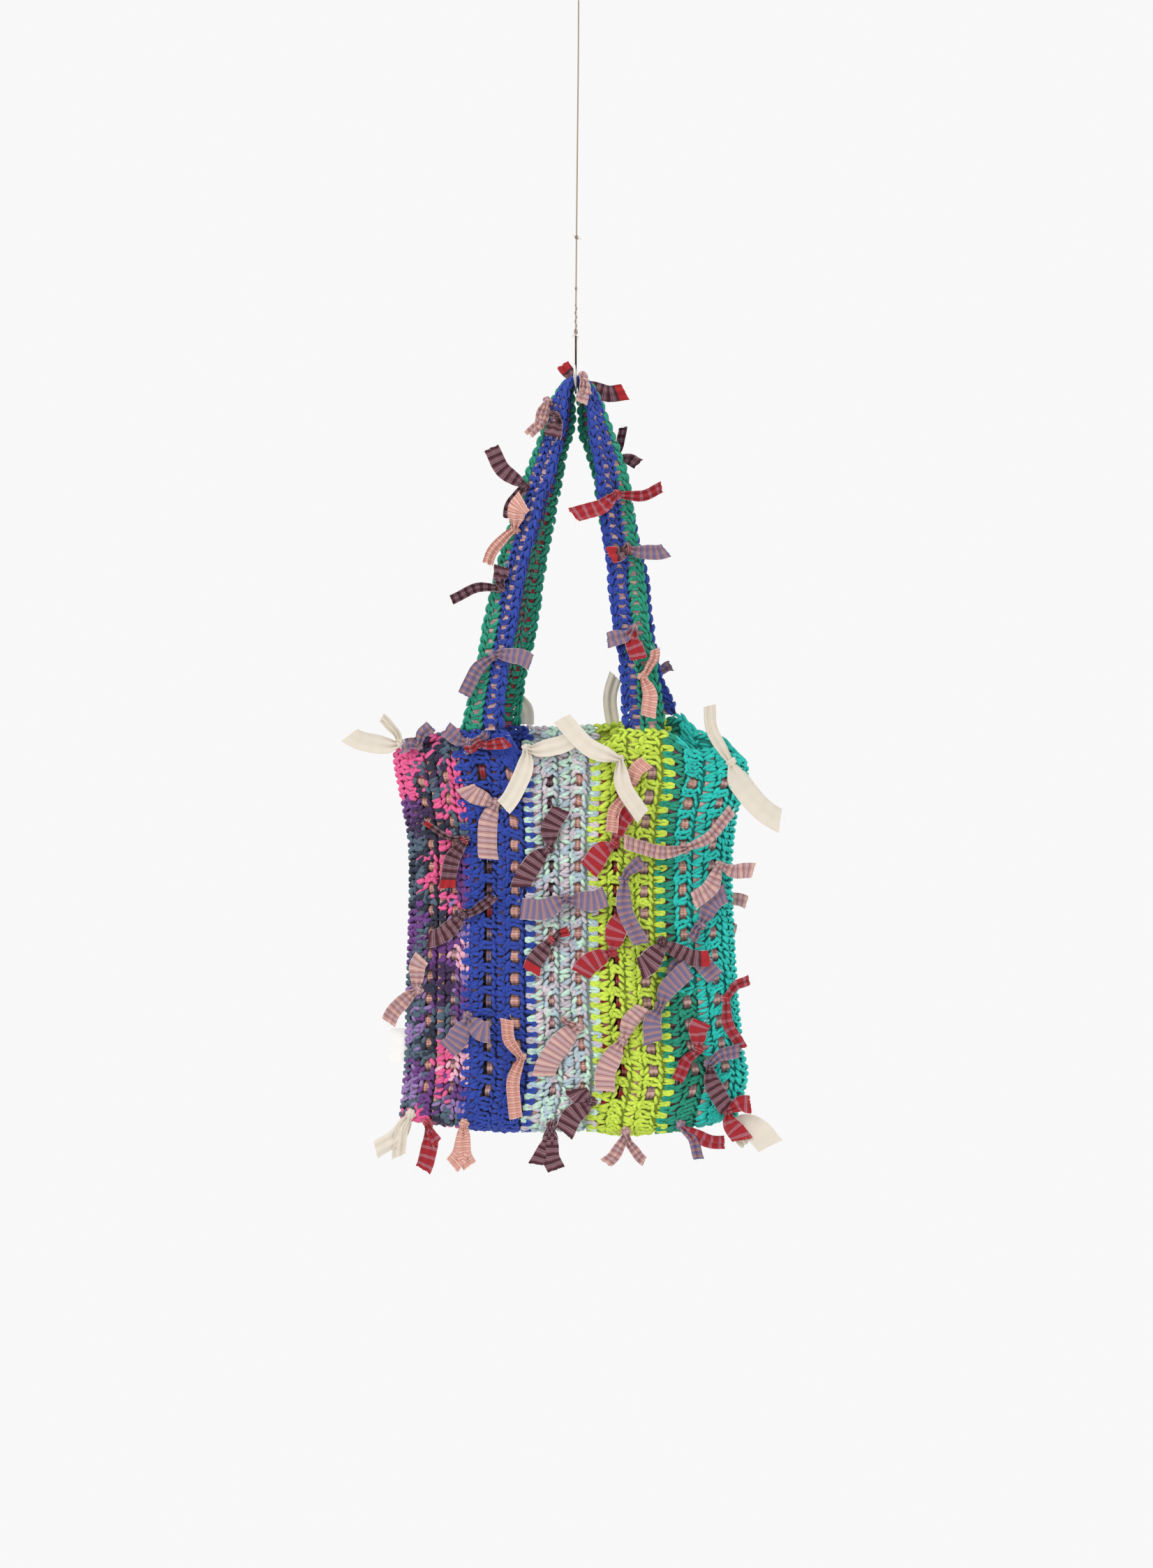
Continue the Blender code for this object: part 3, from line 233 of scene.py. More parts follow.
BAND_MM = 57.0
SINK = -1.2  # the middle of the yarn under the wall's outer face
GROUND_DEPTH = 3.3
LADDER = (
    ((-4.2, 0.6, -0.7), (-1.5, -0.7, 1.3), (3.0, -3.2, 0.8), (4.8, -4.4, -1.2)),
    ((-3.7, 1.8, -0.7), (-0.8, 0.7, 1.0), (3.2, -1.2, 1.1), (4.8, -2.0, -1.0)),
    ((-4.2, 1.6, -0.6), (-0.5, 2.7, 1.4), (3.2, 3.1, 0.8), (4.6, 2.5, -1.2)),
)
FAN = LADDER + (((-4.7, 3.4, -0.9), (-2.6, 4.8, 1.2), (-2.1, 7.0, 1.0), (-4.4, 8.3, -0.9)),)
CHAIN = (
    ((-2.9, -3.4, -0.8), (-1.9, -0.6, 1.2), (-0.6, 2.6, 0.4)),
    ((2.9, -3.4, -0.8), (1.9, -0.6, 1.2), (0.6, 2.6, 0.4)),
)
HOOK = (
    ((4.4, -2.4, -0.8), (0.4, -2.0, 1.2), (-3.9, -0.7, 1.4), (-3.7, 0.8, 1.5), (0.2, 2.1, 1.3),
     (4.4, 2.2, -0.8)),
    ((4.6, -0.4, -0.6), (1.4, -0.2, 1.2), (-2.0, 0.2, 0.2)),
)
KNOT = (
    ((2.0, -3.0, -0.8), (-1.3, -2.2, 1.2), (-1.6, 1.6, 1.3), (1.5, 3.0, -0.8)),
    ((-2.2, 1.2, -0.6), (-0.3, -1.2, 1.9), (2.0, 0.6, 1.4), (2.8, 2.6, -0.8)),
)
SIDE = (((-1.2, -3.6, -0.9), (-0.9, -1.4, 1.0), (0.8, 1.4, 1.0), (1.2, 3.6, -0.9)),)
RAIL = (
    ((-1.5, -4.6, -0.6), (-1.3, -1.5, 0.9), (-0.6, 1.8, 0.9), (0.1, 4.4, -0.6)),
    ((1.5, -4.6, -0.6), (1.3, -1.5, 0.9), (0.7, 1.8, 0.9), (0.0, 4.4, -0.6)),
)
EDGING = (
    ((-3.8, -2.4, -2.2), (-0.6, -2.3, -0.4), (2.8, 0.0, 0.1), (4.0, 0.9, -1.2)),
    ((-3.8, 3.6, -0.6), (-0.6, 2.8, 0.9), (2.8, 1.2, 0.6), (4.0, 0.7, -1.2)),
)

STITCH_PITCH, CHAIN_PITCH, SIDE_PITCH, EDGING_PITCH = 10.0, 6.4, 6.6, 6.33
FILLING, FILLING_REACH = 270, (2.6, 4.0)  # short strands a band, and half their length
YARN_FLAT, YARN_TURN = 0.84, 0.32  # a strand's depth for its width, and its turn for its unevenness
SAMPLES = {3: 4, 4: 5, 6: 8}  # points along a strand, for its number of control points
LADDER_LINES, HOOK_LINES = (6.8, 30.8), (0.6, BAND_MM - 0.6)
HOLE_RIM = 1.6  # from a hole's edge to the middle of the strands beside it
INSIDE_FRONT, INSIDE_BACK = 26, 46  # how far below the mouths the stitches are shown on the inside too
MOUTH_GAP, ROW_HEIGHT = 1.5, 8.0  # above the first row, and about how high a row between holes is
UV_SCALE = 0.3  # of the under layers

# How each band is worked: its ladder stitches, how its bars slant, what lies behind its ladders, how wide its
# holes show, the radius of its yarn, and how dark its under layer is painted, as painted shade between the
# strands
Looks = namedtuple("Looks", "ladders slant windows open yarn ground")
BAND_LOOKS = (
    Looks((LADDER, LADDER), 1.8, (P, S), (6.6, 5.6), 1.95, 0.3),
    Looks((FAN, FAN), -0.7, (B, B), (8.4, 9.4), 1.72, 0.3),
    Looks((LADDER, FAN), 1.8, (S, P), (5.4, 6.4), 1.85, 0.72),
    Looks((LADDER, FAN), -1.2, (R, S), (5.0, 8.0), 1.75, 0.6),
    Looks((LADDER, LADDER), 2.2, (B, P), (6.8, 6.4), 1.6, 0.4),
)

COLOURS = {
    "lime": "D0E84C", "teal": "1ACBBE", "emerald": "12987A", "royal_blue": "2342A8", "mint": "CBEBD8",
    "lavender": "CCC2CC", "blue_grey": "B8CBD6", "pinkish": "DDD0D6", "hot_pink": "F0609A",
    "pale_pink": "F3B8CC", "purple": "6E3A86", "dark_purple": "3D2050", "navy": "242A42", "slate": "526678",
    "lilac": "9A7AB4", "linen": "9C8874", "fibre": "B8A48C",
}
WHITE = (1.0, 1.0, 1.0)


def linear(code):
    """A hexadecimal sRGB colour as linear red, green and blue."""
    values = [int(code[i:i + 2], 16) / 255 for i in (0, 2, 4)]
    return tuple(v / 12.92 if v <= 0.04045 else ((v + 0.055) / 1.055) ** 2.4 for v in values)


# The part's surfaces, for whole arrays of places


def curve_at(points, at):
    """The smooth curve through (place, value) points, level past its ends."""
    places, values = (np.array(column, float) for column in zip(*points))
    at = np.clip(at, places[0], places[-1])
    i = np.clip(np.searchsorted(places, at, side="right"), 1, len(places) - 1)
    before, after = np.maximum(i - 2, 0), np.minimum(i + 1, len(places) - 1)
    slope0 = (values[i] - values[before]) / (places[i] - places[before])
    slope1 = (values[after] - values[i - 1]) / (places[after] - places[i - 1])
    span = places[i] - places[i - 1]
    t = (at - places[i - 1]) / span
    rest = 1.0 - t
    return (
        (1 + 2 * t) * rest * rest * values[i - 1]
        + t * rest * rest * span * slope0
        + t * t * (3 - 2 * t) * values[i]
        - t * t * rest * span * slope1
    )


def ease(at, low, full):
    t = np.clip((at - low) / (full - low), 0.0, 1.0)
    return t * t * (3 - 2 * t)


def unit(vectors):
    return vectors / np.maximum(np.linalg.norm(vectors, axis=-1, keepdims=True), 1e-9)


def side_to_side(u, h):
    left = curve_at(LEFT_SIDE, h)
    return left + u * (curve_at(RIGHT_SIDE, h) - left)


def roundness(u):
    return np.maximum(1.0 - np.abs(2 * u - 1) ** 2.5, 0.0) ** 0.7


def fold_radius(u):
    return SEAM_BULGE + (BULGE[0][1] - SEAM_BULGE) * roundness(u)


def bulge(u, h, side):
    depth = SEAM_BULGE + (curve_at(BULGE, h) - SEAM_BULGE) * roundness(u)
    for fold in SOFT_FOLDS:
        near = np.exp(-(((u - fold.u) / fold.spread) ** 2)) * ease(h, fold.low, fold.full)
        depth = depth + np.where(side == fold.side, fold.depth * near, 0.0)
    return depth


def fold_top(u):
    return curve_at(FOLD_LINE, side_to_side(u, BULGE[0][0])) + fold_radius(u)


def mouth_top(u, side):
    x = side_to_side(u, LEFT_SIDE[-1][0])
    return np.where(side < 0, curve_at(FRONT_MOUTH, x), curve_at(BACK_MOUTH, x))


def shell(u, v):
    """The outer face: v runs down the front (0 to 1), round the fold (1 to 2) and up the back (2 to 3)."""
    start, radius = fold_top(u), fold_radius(u)
    folded = (v > 1) & (v < 2)
    turn = math.pi * np.clip(v - 1, 0.0, 1.0)
    side = np.where(v < 1.5, -1.0, 1.0)
    level, share = np.where(side < 0, *MOUTH_LEVELS), np.where(side < 0, v, 3 - v)
    dip = (mouth_top(u, side) - level) * np.maximum(1 - share / DIP_SHARE, 0.0) ** 2
    h = np.where(folded, start, level + (start - level) * share + dip)
    y = np.where(folded, -radius * np.cos(turn), side * bulge(u, h, side))
    z = np.where(folded, start - radius * np.sin(turn), h)
    return np.stack((side_to_side(u, h), y, z), axis=-1)


def bag_point(u, v, out):
    """Points the distance out from the outer face, measured square to it."""
    step = 1e-3
    across = shell(u + step, v) - shell(u - step, v)
    along = shell(u, v + step) - shell(u, v - step)
    return shell(u, v) - unit(np.cross(across, along)) * out[..., None]


def bag_width():
    h = FRONT_LENGTH / 2
    return side_to_side(1.0, h) - side_to_side(0.0, h)


FABRIC_STOPS = (0.0, FRONT_LENGTH, FRONT_LENGTH + FOLD_LENGTH, FRONT_LENGTH + FOLD_LENGTH + BACK_LENGTH)


def fabric_v(down):
    """v at a distance down the fabric from the front mouth, carried on past both mouths."""
    v = np.interp(down, FABRIC_STOPS, (0, 1, 2, 3))
    past = np.minimum(down, 0.0) / FRONT_LENGTH + np.maximum(down - FABRIC_STOPS[-1], 0.0) / BACK_LENGTH
    return v + past


def band_place(band):
    """A function from places on the flat band to places in space."""
    low, high = BAND_EDGES[band], BAND_EDGES[band + 1]

    def place(flat):
        return bag_point(low + (high - low) * flat[..., 0] / BAND_MM, fabric_v(flat[..., 1]), flat[..., 2])

    return place


def front_y(x, h, side=-1):
    """y of the outer face at this place, carried on level beyond the outline."""
    u = 0.5
    for _ in range(2):
        level = np.minimum(np.maximum(h, fold_top(u)), mouth_top(u, side))
        left, right = side_to_side(0.0, level), side_to_side(1.0, level)
        u = np.clip((x - left) / (right - left), 0.0, 1.0)
    return side * bulge(u, level, side)


STRAP_MM = 30.0
STATION_COLUMNS = [[(i, row[c]) for i, row in enumerate(STATIONS)] for c in range(len(Station._fields))]


def station(k):
    return Station(*(curve_at(column, k) for column in STATION_COLUMNS))


def strap_point(side, k, share, out):
    """Points the distance out from the strap's middle, at a share of the way from its outer edge."""
    here, ahead, behind = station(k), station(k + 0.1), station(k - 0.1)
    outer = np.stack((here.x_out, here.y + here.turn, here.h_out), axis=-1)
    inner = np.stack((here.x_in, here.y - here.turn, here.h_in), axis=-1)
    along = np.stack((ahead.x_out + ahead.x_in - behind.x_out - behind.x_in, 2 * (ahead.y - behind.y),
                      ahead.h_out + ahead.h_in - behind.h_out - behind.h_in), axis=-1)
    outward = unit(np.cross(inner - outer, along))
    point = outer + (inner - outer) * share[..., None] + outward * out[..., None]
    if side > 0:
        left, h = k < APEX, point[..., 2]
        shift = np.where(left, curve_at(BACK_SHIFT_LEFT, h), curve_at(BACK_SHIFT_RIGHT, h))
        rise = np.where(left, curve_at(BACK_RISE_LEFT, h), curve_at(BACK_RISE_RIGHT, h))
        shift = shift + curve_at(BACK_PINCH, k) * share
        point = np.stack((point[..., 0] + shift, -point[..., 1], h + rise), axis=-1)
    return point


STRAP_STEPS = np.linspace(0, len(STATIONS) - 1, 400)
STRAP_LINE = strap_point(-1, STRAP_STEPS, np.full(len(STRAP_STEPS), 0.5), np.zeros(len(STRAP_STEPS)))
STRAP_DOWN = np.concatenate(([0.0], np.cumsum(np.linalg.norm(np.diff(STRAP_LINE, axis=0), axis=1))))
STRAP_LENGTH = float(STRAP_DOWN[-1])


def strap_place(side):
    """A function from places on the flat strap to places in space."""

    def place(flat):
        at = np.interp(flat[..., 1], STRAP_DOWN, STRAP_STEPS)
        return strap_point(side, at, flat[..., 0] / STRAP_MM, flat[..., 2])

    return place


# Meshes


def add_object(name, data):
    made = bpy.data.objects.new(name, data)
    bpy.context.scene.collection.objects.link(made)
    return made


class Pile:
    """Vertices and four-sided faces gathered for one mesh."""

    def __init__(self):
        self.points, self.uvs, self.colours, self.faces, self.slots = [], [], [], [], []
        self.count = 0

    def add(self, points, uvs, colours, faces, slot=0):
        self.points.append(points.reshape(-1, 3))
        self.uvs.append(uvs.reshape(-1, 2))
        self.colours.append(np.broadcast_to(colours, points.shape).reshape(-1, 3))
        self.faces.append(faces.reshape(-1, 4) + self.count)
        self.slots.append(np.broadcast_to(slot, len(self.faces[-1])))
        self.count += len(self.points[-1])

    def build(self, name, materials):
        """The gathered mesh as an object in metres, shaded smooth."""
        points = (np.concatenate(self.points) - (0.0, 0.0, HANG_HEIGHT)) * MM
        faces, uvs, colours = (np.concatenate(part) for part in (self.faces, self.uvs, self.colours))
        mesh = bpy.data.meshes.new(name)
        mesh.vertices.add(len(points))
        mesh.vertices.foreach_set("co", points.ravel())
        mesh.loops.add(faces.size)
        mesh.loops.foreach_set("vertex_index", faces.ravel())
        mesh.polygons.add(len(faces))
        mesh.polygons.foreach_set("loop_start", np.arange(0, faces.size, 4))
        mesh.polygons.foreach_set("material_index", np.concatenate(self.slots))
        mesh.update(calc_edges=True)
        mesh.shade_smooth()
        mesh.uv_layers.new(name="lay").data.foreach_set("uv", uvs[faces.ravel()].ravel())
        tint = mesh.color_attributes.new("tint", "FLOAT_COLOR", "POINT")
        tint.data.foreach_set("color", np.concatenate((colours, np.ones((len(colours), 1))), axis=1).ravel())
        made = add_object(name, mesh)
        for one in materials:
            mesh.materials.append(one)
        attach(made, "root")
        return made


def grid_faces(rows, columns, around=False):
    """The faces of a grid of points, joined round where around is true."""
    i, j = np.meshgrid(np.arange(rows - 1), np.arange(columns if around else columns - 1), indexing="ij")
    low, high, beside = i * columns, (i + 1) * columns, (j + 1) % columns
    return np.stack((low + j, low + beside, high + beside, high + j), axis=-1)


def smooth(controls, samples):
    """Runs of points along the smooth curves through each row of control points."""
    count = controls.shape[1]
    at = np.linspace(0, count - 1, samples)
    weights = np.stack([curve_at(list(enumerate(row)), at) for row in np.eye(count)], axis=1)
    return np.einsum("mk,nkc->nmc", weights, controls)


def add_tubes(pile, middle, outward, radius, colours, sides=6, flat=0.9, tip=0.55, slot=0, swell=False,
              span=1.0):
    """Tubes along rows of points, with narrowed closed ends. flat is their depth for their width."""
    count, samples, _ = middle.shape
    steps = np.gradient(middle, axis=1)
    along = unit(steps)
    across = unit(np.cross(along, outward))
    up = np.cross(across, along)
    turn = 2 * math.pi * np.arange(sides) / sides
    ring = across[:, :, None] * np.cos(turn)[:, None] + up[:, :, None] * (np.sin(turn) * flat)[:, None]
    narrow = np.ones(samples)
    if swell:
        narrow = 0.55 + 0.45 * np.sin(math.pi * np.linspace(0, 1, samples)) ** 0.7
    narrow[[0, -1]] = tip
    size = np.broadcast_to(np.asarray(radius, float).reshape(-1, 1), (count, 1)) * narrow
    points = middle[:, :, None] + ring * size[:, :, None, None]
    gone = np.cumsum(np.linalg.norm(steps, axis=-1), axis=1)
    uvs = np.stack(np.broadcast_arrays(gone[:, :, None], span * turn / (2 * math.pi)), axis=-1)
    faces = grid_faces(samples, sides, True).reshape(-1, 4)
    caps = [(0, side, side + 1, side + 2) for side in range(1, sides - 2, 2)]
    caps += [tuple((samples - 1) * sides + i for i in reversed(cap)) for cap in caps]
    faces = np.concatenate((faces, np.array(caps)))
    starts = np.arange(count) * samples * sides
    colours = np.asarray(colours, float).reshape(-1, 1, 1, 3)
    pile.add(points, uvs, colours, faces[None] + starts[:, None, None], slot)


def yarn_tubes(pile, place, flats, colours, radius, rng, uneven=0.45, sides=6):
    """Strands of yarn along rows of places on the flat fabric, each a little turned and shifted."""
    runs = smooth(flats, SAMPLES[flats.shape[1]])
    turn = rng.normal(0.0, uneven * YARN_TURN, (len(runs), 1))
    middle = runs.mean(axis=1, keepdims=True)
    away = runs - middle
    away[..., 0], away[..., 1] = (away[..., 0] * np.cos(turn) - away[..., 1] * np.sin(turn),
                                  away[..., 0] * np.sin(turn) + away[..., 1] * np.cos(turn))
    runs = middle + away + rng.normal(0.0, uneven, (len(runs), 1, 3)) * (1, 1, 0.6)
    middle = place(runs)
    outward = place(runs + (0.0, 0.0, 1.0)) - middle
    radii = radius * rng.uniform(0.88, 1.1, len(runs))
    add_tubes(pile, middle, outward, radii, colours, sides, flat=YARN_FLAT, tip=0.35, swell=True)


def laid(stitch, across, downs, mirror=1, stretch=1.0, sink=SINK):
    """A stitch's strands, repeated at each place down the fabric."""
    made = []
    for strand in stitch:
        rows = np.repeat((np.array(strand) * (mirror, stretch, 1.0))[None], len(downs), axis=0)
        rows[:, :, 0] += across
        rows[:, :, 1] += np.asarray(downs)[:, None]
        rows[:, :, 2] += sink
        made.append(rows)
    return made


# Rows of the crochet


def hole_spans():
    """Where holes lie down the fabric."""
    front = [(FRONT_TOP + FRONT_PITCH * n, FRONT_TOP + FRONT_PITCH * (n + HOLE_SHARE))
             for n in range(FRONT_HOLES)]
    total = FABRIC_STOPS[-1]
    back = [(total - BACK_TOP - BACK_PITCH * (n + HOLE_SHARE), total - BACK_TOP - BACK_PITCH * n)
            for n in reversed(range(BACK_HOLES))]
    return front + back


def in_hole(places, down_span, share_span, margin=0.0):
    """Which of these places on the flat band lie in one hole, or within the margin of its sides."""
    across, down = places[:, 0], places[:, 1]
    left, right = (share * BAND_MM for share in share_span)
    within = (down > down_span[0]) & (down < down_span[1])
    return within & (across > left - margin) & (across < right + margin)


def solid_rows():
    """The rows of stitches between holes, as (middle, height)."""
    rows, start = [], MOUTH_GAP
    for low, high in hole_spans() + [(FABRIC_STOPS[-1] - MOUTH_GAP, None)]:
        count = max(round((low - start) / ROW_HEIGHT), 1)
        height = (low - start) / count
        rows += [(start + height * (i + 0.5), height) for i in range(count)]
        start = high
    return rows


PATCH_HEIGHT, PATCH_BLUR = 16.75, (5.0, 6.0)  # the blur is across and down
PATCHES = ("HHNG", "HGDH", "HNGH", "UDHH", "DNNG", "GNHG", "NHHU", "GHNU", "NGHU", "UNNI", "UGUI", "GUUW",
           "GDDI", "INDU", "GUGU", "INGI", "GNHW", "UGHW", "IUHU", "GUGI")
DYES = {"H": "hot_pink", "W": "pale_pink", "U": "purple", "D": "dark_purple", "N": "navy", "G": "slate",
        "I": "lilac"}
MINT_RUNS = ("mint", "lavender", "mint", "blue_grey", "pinkish", "mint", "lavender", "blue_grey")
MINT_LENGTH, MINT_COLUMN, MINT_SHIFT = 27.0, 9.0, 2.6  # a run, and how many runs a column is off the last
TEAL_MIDDLE, TEAL_REACH = 330, 108  # of the stretch where the teal band's green edge is wide
GREEN_WIDE, GREEN_NARROW = 28.0, 11.5
TINT_RANGE = (0.88, 1.10)


def variegated_colours(middles, rng):
    """The colours of the variegated yarn at places on the flat band, each a little off its patch."""
    across = np.clip(middles[:, 0] + rng.normal(0, PATCH_BLUR[0], len(middles)), 0, BAND_MM - 0.1)
    down = np.abs(middles[:, 1] + rng.normal(0, PATCH_BLUR[1], len(middles)))
    row = (down / PATCH_HEIGHT).astype(int) % len(PATCHES)
    column = (across / BAND_MM * len(PATCHES[0])).astype(int)
    dyes = {letter: linear(COLOURS[name]) for letter, name in DYES.items()}
    return np.array([dyes[PATCHES[r][c]] for r, c in zip(row, column)])


def tints(band, flats, rng):
    """A colour for each strand, from where it lies on its band."""
    middles = flats[:, flats.shape[1] // 2, :2]
    if band == 0:
        found = variegated_colours(middles, rng)
    elif band == 2:
        runs = np.array([linear(COLOURS[name]) for name in MINT_RUNS])
        at = middles[:, 1] / MINT_LENGTH + np.floor(middles[:, 0] / MINT_COLUMN) * MINT_SHIFT
        at = at + rng.uniform(0, MINT_SHIFT, len(middles))
        found = runs[at.astype(int) % len(runs)]
    elif band == 4:
        green, teal = linear(COLOURS["emerald"]), linear(COLOURS["teal"])
        parting = np.where(np.abs(middles[:, 1] - TEAL_MIDDLE) < TEAL_REACH, GREEN_WIDE, GREEN_NARROW)
        found = np.where((middles[:, 0] < parting)[:, None], green, teal)
    else:
        found = np.tile(linear(COLOURS[BAND_NAMES[band]]), (len(middles), 1))
    return found * rng.uniform(*TINT_RANGE, (len(found), 1))


# Materials


def node(tree, kind, settings=(), **inputs):
    """A node with its settings. Its inputs, by name or as i0, i1, take values or sockets."""
    made = tree.nodes.new(kind)
    for name, value in dict(settings).items():
        setattr(made, name, value)
    for name, value in inputs.items():
        by_number = name[0] == "i" and name[1:].isdigit()
        socket = made.inputs[int(name[1:]) if by_number else name.replace("_", " ")]
        if isinstance(value, bpy.types.NodeSocket):
            tree.links.new(value, socket)
        else:
            socket.default_value = value
    return made


def new_material(name, **shader):
    """A Principled material: (the material, its tree, its shader)."""
    made = bpy.data.materials.new(name)
    made.use_nodes = True
    principled = made.node_tree.nodes["Principled BSDF"]
    for socket, value in shader.items():
        principled.inputs[socket.replace("_", " ")].default_value = value
    return made, made.node_tree, principled


def math_node(tree, operation, first, second=0.0):
    return node(tree, "ShaderNodeMath", {"operation": operation}, i0=first, i1=second).outputs[0]


def scaled(tree, value, factor, added=0.0):
    """The value times the factor, and something added."""
    return math_node(tree, "ADD", math_node(tree, "MULTIPLY", value, factor), added)


def noise(tree, scale, **inputs):
    place = node(tree, "ShaderNodeTexCoord").outputs["Object"]
    return node(tree, "ShaderNodeTexNoise", Vector=place, Scale=scale, **inputs).outputs["Fac"]


def lay_places(tree):
    """Millimetres along a strand or a strip, and the share of the way round or across it."""
    uv = node(tree, "ShaderNodeUVMap", {"uv_map": "lay"})
    parts = node(tree, "ShaderNodeSeparateXYZ", Vector=uv.outputs[0])
    return parts.outputs[0], parts.outputs[1]


def mixed(tree, factor, colour, code):
    """The colour where the factor is 0, and the hexadecimal one where it is 1."""
    other = (*linear(code), 1.0)
    return node(tree, "ShaderNodeMix", {"data_type": "RGBA"}, Factor=factor, i6=colour, i7=other).outputs[2]


def add_shade(tree, shader, colour, value):
    shade = node(tree, "ShaderNodeHueSaturation", Value=value, Color=colour)
    tree.links.new(shade.outputs[0], shader.inputs["Base Color"])


def add_bump(tree, shader, height, strength, distance):
    bump = node(tree, "ShaderNodeBump", Strength=strength, Distance=distance, Height=height)
    tree.links.new(bump.outputs[0], shader.inputs["Normal"])


PLY_TURNS, PLIES = 0.28, 3.0  # turns a millimetre, and ridges round a strand


def yarn_material(name):
    """Soft spun cotton: fuzz gives a pale sheen at the edges, and the ply a slanted ridge, painted a little
    lighter on its tops and darker in its grooves.
    """
    made, tree, shader = new_material(name, Roughness=0.8, Sheen_Weight=0.15, Sheen_Roughness=0.5)
    tint = node(tree, "ShaderNodeAttribute", {"attribute_name": "tint"})
    along, around = lay_places(tree)
    slant = scaled(tree, along, PLY_TURNS, math_node(tree, "MULTIPLY", around, PLIES))
    ridge = math_node(tree, "SINE", math_node(tree, "MULTIPLY", slant, 2 * math.pi))
    speck = noise(tree, 1800.0, Detail=3.0)
    add_bump(tree, shader, scaled(tree, ridge, 0.5, speck), 0.55, 0.0003)
    # The colour is a little lighter on the ply's ridges and darker in its grooves (painted light and shade),
    # with a random speckled tone.
    value = scaled(tree, ridge, 0.06, math_node(tree, "MULTIPLY", speck, 0.30))
    add_shade(tree, shader, tint.outputs["Color"], math_node(tree, "ADD", value, 0.76))
    return made


CLOTH_STRIPES = {  # how often the stripes repeat, and where in that each colour starts
    "pink_pinstripe": (10.0, ((0.0, "CCA49C"), (0.16, "D4B0A6"), (0.28, "BE908A"), (0.45, "7A444A"),
                              (0.50, "B8969A"), (0.66, "C6A4A2"), (0.78, "AE868A"), (0.95, "7A444A"))),
    "salmon_stripe": (4.6, ((0.0, "E2B4A8"), (0.34, "CE9080"), (0.62, "DAA698"), (0.88, "AA6656"))),
    "lilac_stripe": (5.6, ((0.0, "6E6488"), (0.40, "AE7A6E"), (0.50, "94787E"), (0.66, "AE7A6E"),
                           (0.76, "7C6C88"))),
    "burgundy_stripe": (7.0, ((0.0, "441622"), (0.42, "744854"), (0.66, "948088"), (0.72, "744854"),
                              (0.94, "948088"))),
    "red_stripe": (8.0, ((0.0, "A01420"), (0.40, "9C4454"), (0.47, "BE8088"), (0.52, "963C4C"),
                         (0.62, "BE8088"), (0.67, "9C4454"), (0.78, "A01420"))),
    "cream_calico": (12.0, ((0.0, "E2D8C9"), (0.5, "E0D6C7"))),
}
CLOTH_STRIPES["burgundy_red_end"] = CLOTH_STRIPES["burgundy_stripe"]
RED_END = 7.5  # from the cut end
WEAVE = 0.55  # the weave's period


def cloth_material(name):
    """Torn cotton shirting: stripes across the strip, a plain weave, and pale frayed edges."""
    made, tree, shader = new_material("cotton_" + name, Roughness=0.9, Sheen_Weight=0.2, Sheen_Roughness=0.5)
    along, across = lay_places(tree)
    waver = noise(tree, 120.0)
    period, stops = CLOTH_STRIPES[name]
    shifted = scaled(tree, waver, 0.8, along)
    share = math_node(tree, "FRACT", math_node(tree, "DIVIDE", shifted, period))
    ramp = node(tree, "ShaderNodeValToRGB", Fac=share)
    ramp.color_ramp.interpolation = "CONSTANT"
    while len(ramp.color_ramp.elements) < len(stops):
        ramp.color_ramp.elements.new(1.0)
    for element, (position, code) in zip(ramp.color_ramp.elements, stops):
        element.position = position
        element.color = (*linear(code), 1.0)
    colour = ramp.outputs["Color"]
    if name == "burgundy_red_end":
        colour = mixed(tree, math_node(tree, "LESS_THAN", along, RED_END), colour, "AC1620")
    edge = math_node(tree, "ABSOLUTE", math_node(tree, "SUBTRACT", across, 0.5))
    torn = math_node(tree, "GREATER_THAN", scaled(tree, waver, 0.06, edge), 0.522)
    tree.links.new(mixed(tree, torn, colour, "DCC8C4"), shader.inputs["Base Color"])
    warp = math_node(tree, "SINE", math_node(tree, "MULTIPLY", along, 2 * math.pi / WEAVE))
    weft = math_node(tree, "SINE", math_node(tree, "MULTIPLY", across, 2 * math.pi * CLOTH_WIDTH / WEAVE))
    add_bump(tree, shader, math_node(tree, "MULTIPLY", warp, weft), 0.35, 0.0002)
    return made


def plain_material(name, code, roughness, metallic=0.0, grain=900.0, relief=0.0001):
    """One colour with a fine grain that breaks up its gloss."""
    made, tree, shader = new_material(name, Metallic=metallic)
    speck = noise(tree, grain, Detail=4.0)
    add_shade(tree, shader, (*linear(code), 1.0), scaled(tree, speck, 0.4, 0.8))
    tree.links.new(scaled(tree, speck, 0.2, roughness - 0.1), shader.inputs["Roughness"])
    add_bump(tree, shader, speck, 0.4, relief)
    return made


# The camera and the studio

AIM_X, AIM_H, DISTANCE, VIEW_HEIGHT = -1.9, 310.6, 2.5, 1.40375
SENSOR, BACKDROP_STRENGTH = 24.0, 0.94
LIGHT_AIM = (0.0, 0.0, -0.75)
FLOOR_HALF, FLOOR_HEIGHT = 0.7, -1.62  # under the bag, below what the photograph shows


def build_camera():
    data = bpy.data.cameras.new("camera")
    data.sensor_fit = "VERTICAL"
    data.sensor_height = SENSOR
    data.lens = SENSOR * DISTANCE / VIEW_HEIGHT
    camera = add_object("camera", data)
    camera.location = (AIM_X * MM, -DISTANCE, (AIM_H - HANG_HEIGHT) * MM)
    camera.rotation_euler = (math.pi / 2, 0.0, 0.0)
    bpy.context.scene.camera = camera


def area_light(name, place, size, power):
    """A soft light that points at the bag."""
    data = bpy.data.lights.new(name, "AREA")
    data.size = size
    data.energy = power
    light = add_object(name, data)
    light.location = place
    aim = Vector(LIGHT_AIM) - Vector(place)
    light.rotation_euler = aim.to_track_quat("-Z", "Y").to_euler()


